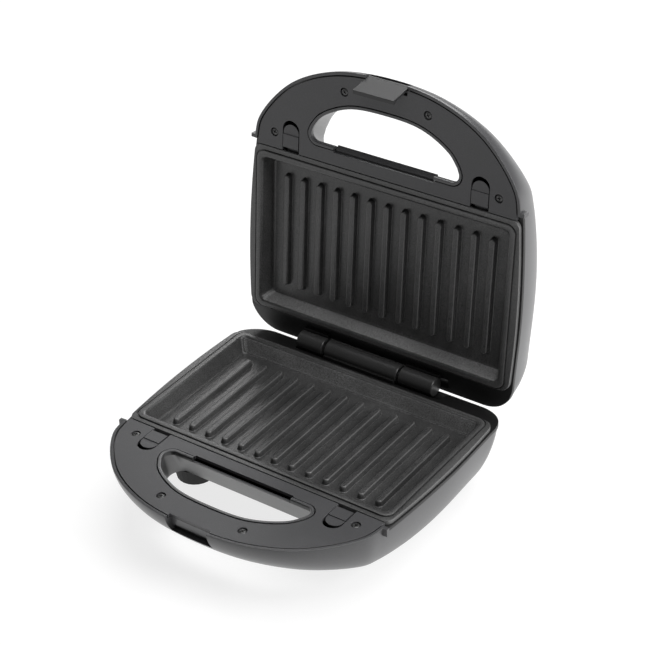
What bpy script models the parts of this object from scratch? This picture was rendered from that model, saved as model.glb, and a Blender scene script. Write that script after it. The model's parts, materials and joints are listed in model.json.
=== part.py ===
"""Panini press, standing open: two clam-shell halves with loop handles and removable ribbed plates.

Both halves are made in one shared half frame, in millimetres: x to the right seen from the front,
y to the rear, z up out of the pan, with z = 0 on the parting plane. The base stands as it is. The lid
is the same half mirrored in the parting plane and turned open about the hinge.
"""
import math

import bmesh
import bpy
from mathutils import Matrix, Vector

MM = 0.001
GAP = 0.3                      # clearance between neighbouring pieces
ROUND_SEGMENTS = 24            # sides of a turned piece
HEAD_SEGMENTS = 12             # sides of a screw head or a lens
SMALL_SEGMENTS = 8             # sides of a shank, bore or boss
WELD = 0.001                   # outline points closer than this are one point
TINY = 1e-6

# ---- the hinge and the stance ------------------------------------------------------------------
HINGE_Y = 9.2
HINGE_Z = -0.75
OPEN_ANGLE = 95.9              # degrees between the halves, lid against its stop
FOOT_FLOOR = 55.5              # parting plane above the table
CENTRE_Y = -71.8               # middle of the open press, front to back

# ---- shell -------------------------------------------------------------------------------------
BODY_DEPTH = 47.0
HANDLE_DEPTH = 31.0            # shell depth at the very front
BODY_FRONT = -70.0             # where the belly reaches its full depth
BELLY_POWER = 1.75
SIDE_TAPER = 14.5
FRONT_TAPER = 28.5
REAR_TAPER = 14.0
EDGE_POWER = 1.62              # roundness of the shell's section
WALL = 2.5
OUTLINE_Y = -101.0             # the sections shrink towards this line
HALF_WIDTH = 115.5
FRONT_Y = -211.8
REAR_Y = 14.8
REAR_HALF = 114.0              # half width where the rear corners begin
CORNER_RADIUS = 24.0
BEYOND_SIDE = 130.0            # cutters run past the object to here
BEYOND_REAR_Y = 30.0
SHELL_SIDE_RIM = -7.0          # the black frame stands on the shell's rim here
RIM_DROP_Y = -10.0             # behind this line the shell's rim falls away
RIM_DROP = 0.14
SHELL_FRONT_RIM = -0.9
RIM_STEP_Y = -140.8

# ---- handle cover and finger opening -----------------------------------------------------------
COVER_TOP = -1.2
COVER_THICKNESS = 2.5
COVER_INSET = 2.6
COVER_REAR_Y = -137.7
OPENING_REAR_Y = -149.0
OPENING_FRONT_Y = -187.5
OPENING_HALF = 63.5
COLLAR = 2.3
SEAM = 0.1                     # the collar steps in by this much beside the cover
OPENING_LIP = -4.3             # the walls are upright down to here
OPENING_REAR_SLOPE = 0.76      # the opening's rear wall leans back below the cover
OPENING_END_SLOPE = 0.45
VENT_HALF = 41.5
VENT_DEPTH = 2.0
VENT_BOTTOM = -4.5
SCREW_PLACES = ((-93.0, -149.5), (-34.1, -194.3), (34.1, -194.3), (93.0, -149.5))
SCREW_HEAD_RADIUS = 2.9
SCREW_HEAD_HEIGHT = 1.6
SCREW_SHANK_RADIUS = 1.3
SCREW_LENGTH = 10.0
SCREW_RECESS = 0.5
BOSS_RADIUS = 3.6
BOSS_TOP = -4.0

# ---- plate -------------------------------------------------------------------------------------
PLATE_FRONT_Y = -137.0
PLATE_REAR_Y = -5.5
PLATE_FRONT_HALF = 110.5
PLATE_REAR_HALF = 112.5
PLATE_FRONT_RADIUS = 6.0
PLATE_REAR_RADIUS = 8.0
PLATE_BOW = 2.4                # the side flanges bow out by this much
FLANGE_TOP = -1.0
FLANGE_BOTTOM = -3.9
BEAD_TOP = -0.3
PAN_HALF = 103.0
PAN_FRONT_Y = -128.0
PAN_REAR_Y = -11.4
PAN_DEPTH = 12.0
PAN_DRAFT = 3.4
PLATE_WALL = 2.2
BEAD_OUT = 5.0                 # groove line outside the pan's edge
BEAD_IN = 1.2
RIB_COUNT = 13
RIB_PITCH = 14.43
RIB_WIDTH = 5.6
RIB_HEIGHT = 4.2
RIB_CROWN = 1.7
RIB_FRONT_Y = -115.3
RIB_REAR_Y = -24.8

# ---- frame -------------------------------------------------------------------------------------
LEDGE_TOP = FLANGE_BOTTOM - GAP
FRAME_BOTTOM = SHELL_SIDE_RIM + GAP
FRAME_SEAT_BOTTOM = -11.5
FRAME_DROP_Y = -3.0             # behind this line the frame's top falls away
FRAME_DROP = 0.19
FRAME_SEAT_INSET = 4.6
FRAME_FRONT_Y = RIM_STEP_Y + GAP
SKIRT_BOTTOM = -24.0
SKIRT_WALL = 2.0
SKIRT_DRAFT = 4.0              # the skirt narrows by this much down to its foot
WELL_HALF = 107.0
WELL_FRONT_Y = -131.9
WELL_REAR_Y = -7.6
WELL_RADIUS = 7.0
WELL_LEDGE = 6.0
LEDGE_THICKNESS = 1.5

# ---- hinge barrels -----------------------------------------------------------------------------
BARREL_RADIUS = 7.0
BARREL_CLEARANCE = 8.2
PIN_RADIUS = 1.7
NOTCH = (-65.0, 61.0)
BASE_BARRELS = ((-38.5, 24.5),)
LID_BARRELS = ((-63.5, -41.0), (26.5, 55.0))

# ---- plate latches -----------------------------------------------------------------------------
LATCH_X = 78.5
LATCH_HALF = 6.6
LATCH_REAR_Y = -140.6
LATCH_FRONT_Y = -158.4
LATCH_TRAVEL = 3.0
LATCH_FOOT_HALF = 8.6
LATCH_FOOT_TOP = COVER_TOP - COVER_THICKNESS - GAP
LATCH_FOOT_BOTTOM = -5.9
LATCH_TOP = -0.8
LATCH_SLOT_FRONT_Y = -161.6
LATCH_NOSE_Y = -133.6
LATCH_NOSE_HALF = 5.0
TAB_FRONT_Y = -136.3
TAB_TOP = -6.2
TAB_BOTTOM = -8.0
SPRING_RADIUS = 1.6
SPRING_WIRE = 0.35
SPRING_LENGTH = 6.5
SPRING_TURNS = 3
SPRING_STOP_Y = -169.0

# ---- clip and catch ----------------------------------------------------------------------------
CLIP_HALF = 16.5
CLIP_PIVOT_Y = -207.2
CLIP_PIVOT_Z = -4.7
CLIP_REACH = 15.0              # how far the flap stands out of the lid
CLIP_TIP_Y = -205.4
CLIP_RADIUS = 2.6
CLIP_THICKNESS = 1.9
CLIP_LIP = 1.3
CLIP_LIP_HEIGHT = 2.2
CLIP_PIN_RADIUS = 1.0
CLIP_SWING_REAR_Y = -203.9     # rear face of the notch in the lid
CLIP_SWING_BOTTOM = -9.5
CATCH_TOP_Y = -206.4
CATCH_SLOPE = 0.223
CATCH_BOTTOM = -17.0
CATCH_GROOVE = 1.7
CATCH_CLEARANCE = 1.0          # room over the clip's lip when the press is closed
CATCH_HALF = 17.2
NOTCH_TOP = 3.0                # cutters at the front run up to here
FRONT_BLOCK_HALF = 21.0
FRONT_BLOCK_REAR_Y = -197.5

# ---- inside ------------------------------------------------------------------------------------
REFLECTOR_FLOOR = -22.2
REFLECTOR_SHEET = 0.8
REFLECTOR_TOP = -14.6
HEATER_RADIUS = 3.2
HEATER_Z = -17.9
HEATER_HALF = 80.0
HEATER_REAR_Y = -28.0
HEATER_FRONT_Y = -112.0
HEATER_BEND = 16.0
HEATER_LEG_X = 20.0
HEATER_LEG_END = -33.0
HEATER_HOLE = 6.5

# ---- feet, gland -------------------------------------------------------------------------------
FOOT_PLACES = ((-76.0, -109.0), (76.0, -109.0), (-80.0, -24.0), (80.0, -24.0))
FOOT_TOP_RADIUS = 17.5
FOOT_BOTTOM_RADIUS = 14.0
FOOT_HEIGHT = 18.0
GLAND_X = 72.0
GLAND_Z = -28.0
GLAND_RADIUS = 6.0
GLAND_FLANGE = 9.0
GLAND_BORE = 3.6
GLAND_FLANGE_Y = 13.1
GLAND_INNER_Y = 0.0

# ---- small things ------------------------------------------------------------------------------
NUB_X = 111.0
NUB_Y = -142.3
NUB_BOTTOM = -6.8
NUB_HALF = 2.4
NUB_DEPTH = 1.4
EAR_X = 84.0
EAR_HALF = 8.0
EAR_TOP = -6.2
EAR_BOTTOM = -8.0
EAR_REAR_Y = -6.0
ARM_BOTTOM = -6.0
ARM_TOP = -1.8
BASE_SCREW_PLACES = ((-97.0, -137.7), (97.0, -137.7), (-88.0, -1.5), (88.0, -1.5))
BASE_SCREW_TOP = -7.5
BASE_SCREW_LENGTH = 20.0
BASE_BOSS_RADII = (6.5, 3.4)   # foot and top of the tapered boss
LAMP_X = 9.0
LAMP_Y = -104.0
LAMP_RADIUS = 3.2


# ================================================================================================
# Scene, materials and the two halves
# ================================================================================================
for old in list(bpy.data.objects):
    bpy.data.objects.remove(old)

PARTS = bpy.data.collections.new("panini_press")
CUTTERS = bpy.data.collections.new("cutters")
bpy.context.scene.collection.children.link(PARTS)
bpy.context.scene.collection.children.link(CUTTERS)


def principled(name, colour, roughness, metallic=0.0):
    """A Principled material."""
    material = bpy.data.materials.new(name)
    material.use_nodes = True
    shader = material.node_tree.nodes["Principled BSDF"]
    shader.inputs["Base Color"].default_value = (*colour, 1.0)
    shader.inputs["Roughness"].default_value = roughness
    shader.inputs["Metallic"].default_value = metallic
    return material


SHELL_GREY = principled("shell_grey", (0.16, 0.16, 0.17), 0.35)
COVER_BLACK = principled("cover_black", (0.045, 0.045, 0.05), 0.45)
FRAME_BLACK = principled("frame_black", (0.015, 0.015, 0.016), 0.4)
PLATE_COAT = principled("non_stick", (0.05, 0.05, 0.055), 0.55, 0.2)
STEEL = principled("steel", (0.6, 0.6, 0.6), 0.3, 1.0)
SCREW_BLACK = principled("screw_black", (0.03, 0.03, 0.03), 0.35, 1.0)
RUBBER = principled("rubber", (0.02, 0.02, 0.02), 0.8)
CERAMIC = principled("ceramic", (0.8, 0.78, 0.72), 0.5)
LENS_RED = principled("lens_red", (0.6, 0.03, 0.02), 0.15)
LENS_GREEN = principled("lens_green", (0.03, 0.45, 0.08), 0.15)


def axis_empty(name, location, angle=0.0, parent=None):
    """An empty that carries the pieces of one moving body, its origin on the joint's axis."""
    empty = bpy.data.objects.new(name, None)
    empty.location = location
    empty.rotation_euler = (math.radians(angle), 0.0, 0.0)
    empty.parent = parent
    PARTS.objects.link(empty)
    return empty


class Half:
    """Base or lid: turns half-frame millimetres into metres about the half's own empty."""

    def __init__(self, name, mirrored, empty, origin):
        self.name = name
        self.mirrored = mirrored
        self.empty = empty
        self.origin = Vector(origin)

    def matrix(self):
        flip = Matrix.Diagonal((1.0, 1.0, -1.0 if self.mirrored else 1.0, 1.0))
        return Matrix.Scale(MM, 4) @ Matrix.Translation(-self.origin) @ flip


STAND = Vector((0.0, -CENTRE_Y, FOOT_FLOOR)) * MM
HINGE = Vector((0.0, HINGE_Y - CENTRE_Y, HINGE_Z + FOOT_FLOOR)) * MM
BASE = Half("base", False, axis_empty("base_datum", STAND), (0.0, 0.0, 0.0))
LID = Half("lid", True, axis_empty("lid_hinge_axis", HINGE, -OPEN_ANGLE), (0.0, HINGE_Y, HINGE_Z))


# ================================================================================================
# Modelling helpers, all in half-frame millimetres
# ================================================================================================
def to_object(half, name, bm, material=None):
    """Bring a bmesh into its half and wrap it in an object: a part, or a cutter without material."""
    bmesh.ops.transform(bm, matrix=half.matrix(), verts=bm.verts)
    if half.mirrored:
        bmesh.ops.reverse_faces(bm, faces=bm.faces)
    mesh = bpy.data.meshes.new(name)
    bm.to_mesh(mesh)
    bm.free()
    obj = bpy.data.objects.new(name, mesh)
    obj.parent = half.empty
    if material is None:
        obj.hide_render = True
        obj.display_type = "WIRE"
        CUTTERS.objects.link(obj)
    else:
        mesh.materials.append(material)
        mesh.shade_smooth()
        mesh.set_sharp_from_angle(angle=math.radians(35.0))
        PARTS.objects.link(obj)
    return obj


def combine(target, other, operation):
    """Stack an exact Boolean on the target."""
    step = target.modifiers.new(operation.lower(), "BOOLEAN")
    step.operation = operation
    step.solver = "EXACT"
    step.object = other


def cut(target, *others):
    for other in others:
        combine(target, other, "DIFFERENCE")


def join(target, *others):
    for other in others:
        combine(target, other, "UNION")


def box(low, high):
    """A box between two corners."""
    bm = bmesh.new()
    size = Vector(high) - Vector(low)
    middle = (Vector(high) + Vector(low)) / 2.0
    matrix = Matrix.Translation(middle) @ Matrix.Diagonal((*size, 1.0))
    bmesh.ops.create_cube(bm, size=1.0, matrix=matrix)
    return bm


def cone(low_radius, high_radius, low, high, axis="Z", segments=ROUND_SEGMENTS):
    """A closed cone or cylinder from point low to point high along one axis."""
    bm = bmesh.new()
    turn = {"Z": Matrix(), "X": Matrix.Rotation(math.pi / 2, 4, "Y"),
            "Y": Matrix.Rotation(-math.pi / 2, 4, "X")}[axis]
    middle = (Vector(low) + Vector(high)) / 2.0
    bmesh.ops.create_cone(bm, cap_ends=True, segments=segments, radius1=low_radius,
                          radius2=high_radius, depth=(Vector(high) - Vector(low)).length,
                          matrix=Matrix.Translation(middle) @ turn)
    return bm


def rod(radius, low, high, axis="Z", segments=ROUND_SEGMENTS):
    return cone(radius, radius, low, high, axis, segments)


def slab(outline, low, high, plane="XY"):
    """A flat outline filled and extruded: a 2D curve made into a mesh with its caps welded on."""
    curve = bpy.data.curves.new("outline", "CURVE")
    curve.dimensions = "2D"
    curve.fill_mode = "BOTH"
    curve.extrude = (high - low) / 2.0
    spline = curve.splines.new("POLY")
    spline.points.add(len(outline) - 1)
    for point, (u, v) in zip(spline.points, outline):
        point.co = (u, v, 0.0, 1.0)
    spline.use_cyclic_u = True
    holder = bpy.data.objects.new("outline", curve)
    CUTTERS.objects.link(holder)
    bpy.context.view_layer.update()
    evaluated = holder.evaluated_get(bpy.context.evaluated_depsgraph_get())
    mesh = bpy.data.meshes.new_from_object(evaluated)
    bm = bmesh.new()
    bm.from_mesh(mesh)
    bpy.data.objects.remove(holder)
    bpy.data.curves.remove(curve)
    bpy.data.meshes.remove(mesh)
    bmesh.ops.remove_doubles(bm, verts=bm.verts, dist=WELD)
    matrix = Matrix.Translation((0.0, 0.0, (low + high) / 2.0))
    if plane == "YZ":
        matrix = Matrix(((0, 0, 1, 0), (1, 0, 0, 0), (0, 1, 0, 0), (0, 0, 0, 1))) @ matrix
    bmesh.ops.transform(bm, matrix=matrix, verts=bm.verts)
    bmesh.ops.recalc_face_normals(bm, faces=bm.faces)
    return bm


def loft(rings):
    """A closed solid through rings of equal length, lowest ring first; its ends are strips across x.

    Every ring comes from mirrored(): its right side from front to rear and then its left side back
    to the front, so a point and its mirror image share a strip of the end face.
    """
    bm = bmesh.new()
    rows = [[bm.verts.new(point) for point in ring] for ring in rings]
    count = len(rings[0])
    shift = 0 if abs(rings[0][0][0]) < TINY else 1      # 1 when the front has no middle point
    for lower, upper in zip(rows, rows[1:]):
        for i in range(count):
            k = (i + 1) % count
            bm.faces.new((lower[i], lower[k], upper[k], upper[i]))
    for row in (rows[0], rows[-1]):
        for i in range((count - shift) // 2):
            corners = (row[i], row[i + 1], row[-i - 1 - shift], row[-i - shift])
            bm.faces.new(list(dict.fromkeys(corners)))
    bmesh.ops.recalc_face_normals(bm, faces=bm.faces)
    return bm


def straight(outline, low, high):
    """A mirrored outline extruded straight up."""
    return loft([lifted(outline, low), lifted(outline, high)])


# ================================================================================================
# Outlines
# ================================================================================================
def smooth_through(points, steps):
    """Centripetal curve through hand-placed points; the first point lies on the mirror line."""
    before = (-points[1][0], points[1][1])
    after = tuple(2.0 * last - previous for last, previous in zip(points[-1], points[-2]))
    knots = [Vector(p) for p in (before, *points, after)]
    result = []
    for a, b, c, d in zip(knots, knots[1:], knots[2:], knots[3:]):
        t1 = math.sqrt((b - a).length)
        t2 = t1 + math.sqrt((c - b).length)
        t3 = t2 + math.sqrt((d - c).length)
        for k in range(steps):
            t = t1 + (t2 - t1) * k / steps
            ab = a.lerp(b, t / t1)
            bc = b.lerp(c, (t - t1) / (t2 - t1))
            cd = c.lerp(d, (t - t2) / (t3 - t2))
            left = ab.lerp(bc, t / t2)
            right = bc.lerp(cd, (t - t1) / (t3 - t1))
            result.append(left.lerp(right, (t - t1) / (t2 - t1)))
    return result


def arc(centre, radius, start, end, steps):
    """Points along an arc, angles in degrees."""
    angles = [math.radians(start + (end - start) * k / steps) for k in range(steps + 1)]
    return [Vector((centre[0] + radius * math.cos(a), centre[1] + radius * math.sin(a)))
            for a in angles]


def mirrored(right):
    """Close a right half that runs from front to rear; a point on x = 0 stays single."""
    return list(right) + [Vector((-p.x, p.y)) for p in reversed(right) if p.x > TINY]


def inset(outline, amount):
    """Move a counter-clockwise outline inwards along its normals."""
    result = []
    count = len(outline)
    for i, point in enumerate(outline):
        before = (point - outline[i - 1]).normalized()
        after = (outline[(i + 1) % count] - point).normalized()
        tangent = (before + after).normalized()
        stretch = max(0.5, tangent.dot(after))
        result.append(point + Vector((-tangent.y, tangent.x)) * amount / stretch)
    return result


def shell_outline():
    """The rim of either half seen from above, counter-clockwise from the front middle."""
    corner_y = REAR_Y - CORNER_RADIUS
    points = ((0.0, FRONT_Y), (43.5, -207.0), (79.8, -190.0), (106.2, -159.5),
              (110.6, -142.0), (HALF_WIDTH, BODY_FRONT), (REAR_HALF, corner_y))
    right = smooth_through(points, 3)
    right += arc((REAR_HALF - CORNER_RADIUS, corner_y), CORNER_RADIUS, 0.0, 90.0, 5)
    return mirrored(right)


def plate_outline(grow=0.0):
    """The plate's flange: straight front and rear, side edges bowed out, rounded corners."""
    front = PLATE_FRONT_Y - grow
    rear = PLATE_REAR_Y + grow
    start = front + PLATE_FRONT_RADIUS
    end = rear - PLATE_REAR_RADIUS
    right = arc((PLATE_FRONT_HALF + grow - PLATE_FRONT_RADIUS, start), PLATE_FRONT_RADIUS,
                -90.0, -5.0, 3)
    for k in range(1, 6):
        share = k / 6.0
        half_width = PLATE_FRONT_HALF + (PLATE_REAR_HALF - PLATE_FRONT_HALF) * share + grow
        bow = PLATE_BOW * 4.0 * share * (1.0 - share)
        right.append(Vector((half_width + bow, start + (end - start) * share)))
    right += arc((PLATE_REAR_HALF + grow - PLATE_REAR_RADIUS, end), PLATE_REAR_RADIUS,
                 5.0, 90.0, 3)
    return mirrored(right)


def round_rectangle(half, front, rear, radius, steps=3):
    """A rounded rectangle about x = 0 with the same layout as the other outlines."""
    right = arc((half - radius, front + radius), radius, -90.0, 0.0, steps)
    right += [Vector((half, front + radius + (rear - front - 2.0 * radius) * k / 6.0))
              for k in range(1, 6)]
    right += arc((half - radius, rear - radius), radius, 0.0, 90.0, steps)
    return mirrored(right)


def opening_outline():
    """The lip line of the finger opening: a flat rear edge and a bowed front."""
    points = ((0.0, OPENING_FRONT_Y), (31.0, -184.6), (54.0, -172.8), (62.2, -162.5))
    right = smooth_through(points, 3)
    right += arc((OPENING_HALF - 8.0, OPENING_REAR_Y - 8.0), 8.0, -25.0, 90.0, 6)
    return mirrored(right)


def lifted(outline, z):
    return [(p.x, p.y, z) for p in outline]


def belly_depth(y):
    """Depth of the shell below the rim: shallow under the handle, full under the plate."""
    share = min(max((y - FRONT_Y) / (BODY_FRONT - FRONT_Y), 0.0), 1.0)
    rise = math.sin(share * math.pi / 2.0) ** BELLY_POWER
    return HANDLE_DEPTH + (BODY_DEPTH - HANDLE_DEPTH) * rise


def shell_rings(outline, shrink, top, levels=6):
    """Sections of the shell, deepest first; shrink is the wall thickness taken off outside."""
    rings = []
    for k in range(levels, -1, -1):
        turn = math.pi / 2.0 * k / levels
        narrow = 1.0 - math.cos(turn) ** (2.0 / EDGE_POWER)
        deep = math.sin(turn) ** (2.0 / EDGE_POWER)
        ring = []
        for p in outline:
            taper = FRONT_TAPER if p.y < OUTLINE_Y else REAR_TAPER
            x = p.x * (1.0 - SIDE_TAPER / HALF_WIDTH * narrow)
            y = OUTLINE_Y + (p.y - OUTLINE_Y) * (1.0 - taper / (REAR_Y - OUTLINE_Y) * narrow)
            depth = belly_depth(y) - shrink
            ring.append((x, y, top * (1.0 - deep) - depth * deep))
        rings.append(ring)
    return rings


# ================================================================================================
# Cutters shared by the pieces of a half
# ================================================================================================
def opening_loft(half, name, grow, low, high):
    """The finger opening as a solid: its rear wall and its ends lean away below the cover."""
    outline = inset(opening_outline(), -grow)
    rings = []
    for z in (low, OPENING_LIP, high):
        depth = max(OPENING_LIP - z, 0.0)
        ring = []
        for p in outline:
            share = (p.y - OPENING_FRONT_Y) / (OPENING_REAR_Y - OPENING_FRONT_Y)
            back = OPENING_REAR_SLOPE * depth * share
            wide = 1.0 + OPENING_END_SLOPE * depth / OPENING_HALF
            ring.append((p.x * wide, p.y + back, z))
        rings.append(ring)
    return to_object(half, name, loft(rings))


def front_notch(half, name, half_width, low_z, high_z, low_y, high_y):
    """A notch at the front middle with a leaning rear face, drawn in YZ and extruded across x."""
    front = FRONT_Y - 3.0
    profile = [Vector(p) for p in ((front, low_z), (low_y, low_z), (high_y, high_z),
                                   (front, high_z))]
    return to_object(half, name, slab(profile, -half_width, half_width, "YZ"))


def catch_y(z):
    """The rear face of the base's catch at a height: it leans back with depth."""
    return CATCH_TOP_Y - CATCH_SLOPE * z


def hinge_line(half):
    """Height of the hinge axis in the half frame: the lid is mirrored."""
    return -HINGE_Z if half.mirrored else HINGE_Z


def hinge_rod(half, name, radius, span, material=None):
    z = hinge_line(half)
    bm = rod(radius, (span[0], HINGE_Y, z), (span[1], HINGE_Y, z), "X")
    return to_object(half, name, bm, material)


def latch_outline(side, half_width, front, rear):
    """A tongue with a round front end, about one latch's centre line."""
    centre = (side * LATCH_X, front + half_width)
    points = arc(centre, half_width, 180.0, 360.0, 8)
    x = side * LATCH_X
    return points + [Vector((x + half_width, rear)), Vector((x - half_width, rear))]


def notch_front(half, target):
    """Cut the base's catch, or the lid's notch for the clip, into a shell or a cover."""
    name = target.name
    if half is LID:
        cut(target, front_notch(half, f"{name}_clip_notch", CATCH_HALF, CLIP_SWING_BOTTOM, NOTCH_TOP,
                                CLIP_SWING_REAR_Y, CLIP_SWING_REAR_Y))
        return
    cut(target, front_notch(half, f"{name}_catch_notch", CATCH_HALF, CATCH_BOTTOM, NOTCH_TOP,
                            catch_y(CATCH_BOTTOM), catch_y(NOTCH_TOP)))
    groove_top = CLIP_LIP_HEIGHT + CATCH_CLEARANCE - CLIP_REACH
    groove_y = catch_y(CATCH_BOTTOM) + CATCH_GROOVE
    cut(target, front_notch(half, f"{name}_catch_groove", CATCH_HALF, CATCH_BOTTOM, groove_top,
                            groove_y, groove_y))


def rim_line(gap):
    """The shell's rim round the plate, seen from the side, with a gap above it."""
    z = SHELL_SIDE_RIM + gap
    return [(RIM_STEP_Y, z), (RIM_DROP_Y, z),
            (BEYOND_REAR_Y, z - RIM_DROP * (BEYOND_REAR_Y - RIM_DROP_Y))]


def frame_line():
    """The frame's top behind the plate, seen from the side."""
    return [(FRAME_DROP_Y, LEDGE_TOP),
            (BEYOND_REAR_Y, LEDGE_TOP - FRAME_DROP * (BEYOND_REAR_Y - FRAME_DROP_Y))]


def beyond(half, name, line, z):
    """Everything between a line drawn in YZ and level z, across the whole width."""
    profile = [Vector(p) for p in line]
    profile += [Vector((line[-1][0], z)), Vector((line[0][0], z))]
    return to_object(half, name, slab(profile, -BEYOND_SIDE, BEYOND_SIDE, "YZ"))


# ================================================================================================
# Shell and handle cover
# ================================================================================================
def make_shell(half):
    """The outer tub, with the collar of the finger opening, screw bosses and latch ribs inside."""
    name = f"{half.name}_shell"
    outline = shell_outline()
    shell = to_object(half, name, loft(shell_rings(outline, 0.0, SHELL_FRONT_RIM)), SHELL_GREY)
    hollow = shell_rings(inset(outline, WALL), WALL, 3.0)
    cavity = to_object(half, f"{name}_cavity", loft(hollow))
    block = box((-FRONT_BLOCK_HALF, FRONT_Y - 5.0, -60.0),
                (FRONT_BLOCK_HALF, FRONT_BLOCK_REAR_Y, BOSS_TOP))
    cut(cavity, opening_loft(half, f"{name}_collar", 0.0, -60.0, 5.0))
    cut(cavity, to_object(half, f"{name}_front_block", block))
    for i, (x, y) in enumerate(SCREW_PLACES, 1):
        boss = rod(BOSS_RADIUS, (x, y, -60.0), (x, y, BOSS_TOP), segments=SMALL_SEGMENTS)
        cut(cavity, to_object(half, f"{name}_boss_{i}", boss))
    for side in (-1, 1):
        rib = box((side * LATCH_X - 2.0, LATCH_FRONT_Y + 2.0, -60.0),
                  (side * LATCH_X + 2.0, LATCH_REAR_Y - 3.0, LATCH_FOOT_BOTTOM - GAP))
        stop = box((side * LATCH_X - 3.0, SPRING_STOP_Y - 2.0, -60.0),
                   (side * LATCH_X + 3.0, SPRING_STOP_Y, BOSS_TOP))
        cut(cavity, to_object(half, f"{name}_latch_rib_{side}", rib))
        cut(cavity, to_object(half, f"{name}_spring_stop_{side}", stop))
    if half is BASE:
        for i, (x, y) in enumerate(BASE_SCREW_PLACES, 1):
            boss = cone(*BASE_BOSS_RADII, (x, y, -60.0), (x, y, FRAME_SEAT_BOTTOM - GAP),
                        segments=SMALL_SEGMENTS)
            cut(cavity, to_object(half, f"{name}_base_boss_{i}", boss))
    cut(shell, cavity)
    for side in (-1, 1):
        nub = box((side * NUB_X - NUB_HALF, NUB_Y - NUB_DEPTH, NUB_BOTTOM),
                  (side * NUB_X + NUB_HALF, NUB_Y + NUB_DEPTH, SHELL_FRONT_RIM))
        join(shell, to_object(half, f"{name}_nub_{side}", nub))
    cut(shell, opening_loft(half, f"{name}_opening", -COLLAR, -65.0, 5.0))
    cut(shell, beyond(half, f"{name}_side_rim", rim_line(0.0), 10.0))
    rebate = to_object(half, f"{name}_rebate", straight(inset(outline, COVER_INSET - 0.4),
                                                    COVER_TOP - COVER_THICKNESS - GAP, 4.0))
    keep = straight(inset(opening_outline(), SEAM), -10.0, 6.0)
    cut(rebate, to_object(half, f"{name}_rebate_keep", keep))
    cut(shell, rebate)
    vent = box((-VENT_HALF, OPENING_REAR_Y - COLLAR - 2.0, VENT_BOTTOM),
               (VENT_HALF, OPENING_REAR_Y + 1.0, 5.0))
    cut(shell, to_object(half, f"{name}_vent", vent))
    cut(shell, hinge_rod(half, f"{name}_hinge_notch", BARREL_CLEARANCE, NOTCH))
    for i, (x, y) in enumerate(SCREW_PLACES, 1):
        bore = rod(SCREW_SHANK_RADIUS + GAP, (x, y, BOSS_TOP - 11.0), (x, y, 5.0),
                   segments=SMALL_SEGMENTS)
        cut(shell, to_object(half, f"{name}_screw_bore_{i}", bore))
    notch_front(half, shell)
    return shell


def make_cover(half):
    """The half-moon cover over the handle."""
    name = f"{half.name}_handle_cover"
    bottom = COVER_TOP - COVER_THICKNESS
    cover = to_object(half, name, straight(inset(shell_outline(), COVER_INSET), bottom, COVER_TOP),
                      COVER_BLACK)
    rear = box((-BEYOND_SIDE, COVER_REAR_Y, -30.0), (BEYOND_SIDE, BEYOND_REAR_Y, 5.0))
    cut(cover, to_object(half, f"{name}_rear", rear))
    hole = straight(inset(opening_outline(), -0.4), -10.0, 5.0)
    cut(cover, to_object(half, f"{name}_opening", hole))
    vent = box((-VENT_HALF, OPENING_REAR_Y - 2.0, -10.0),
               (VENT_HALF, OPENING_REAR_Y + VENT_DEPTH, 5.0))
    cut(cover, to_object(half, f"{name}_vent", vent))
    for side in (-1, 1):
        slot = slab(latch_outline(side, LATCH_HALF + 0.35, LATCH_SLOT_FRONT_Y,
                                  COVER_REAR_Y + 2.0), -10.0, 5.0)
        cut(cover, to_object(half, f"{name}_latch_slot_{side}", slot))
    for i, (x, y) in enumerate(SCREW_PLACES, 1):
        shank = rod(SCREW_SHANK_RADIUS + GAP, (x, y, -10.0), (x, y, 5.0), segments=SMALL_SEGMENTS)
        seat_z = COVER_TOP - SCREW_RECESS - SCREW_HEAD_HEIGHT - GAP
        seat = rod(SCREW_HEAD_RADIUS + 0.4, (x, y, seat_z), (x, y, 5.0), segments=HEAD_SEGMENTS)
        cut(cover, to_object(half, f"{name}_screw_shank_{i}", shank))
        cut(cover, to_object(half, f"{name}_screw_seat_{i}", seat))
    notch_front(half, cover)
    return cover


def make_screw(half, name, x, y, head_z, length, up=1.0):
    """A pan-head screw with a cross recess; up is -1 for one driven from below."""
    seat_z = head_z - SCREW_HEAD_HEIGHT * up
    low, high = sorted((seat_z, head_z))
    head = rod(SCREW_HEAD_RADIUS, (x, y, low), (x, y, high), segments=HEAD_SEGMENTS)
    low, high = sorted((seat_z - length * up, seat_z + 0.5 * up))
    shank = rod(SCREW_SHANK_RADIUS, (x, y, low), (x, y, high), segments=SMALL_SEGMENTS)
    screw = to_object(half, name, head, SCREW_BLACK)
    join(screw, to_object(half, f"{name}_shank", shank))
    low, high = sorted((head_z - 0.8 * up, head_z + 1.0 * up))
    for k, (dx, dy) in enumerate(((1.9, 0.45), (0.45, 1.9))):
        slot = box((x - dx, y - dy, low), (x + dx, y + dy, high))
        cut(screw, to_object(half, f"{name}_slot_{k}", slot))
    return screw


def make_cover_screws(half):
    for i, (x, y) in enumerate(SCREW_PLACES, 1):
        make_screw(half, f"{half.name}_cover_screw_{i}", x, y, COVER_TOP - SCREW_RECESS,
                   SCREW_LENGTH)


# ================================================================================================
# Frame with the hinge barrels
# ================================================================================================
def well_outline(step=0.0):
    """The well in the frame that the pan hangs in, its outline moved outwards by step."""
    return round_rectangle(WELL_HALF + step, WELL_FRONT_Y - step, WELL_REAR_Y + step,
                           WELL_RADIUS + step)


def drafted_well(step, low, high):
    """The well as a solid, narrowing with the skirt's draft from high down to low."""
    return loft([lifted(well_outline(step - SKIRT_DRAFT), low), lifted(well_outline(step), high)])


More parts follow.
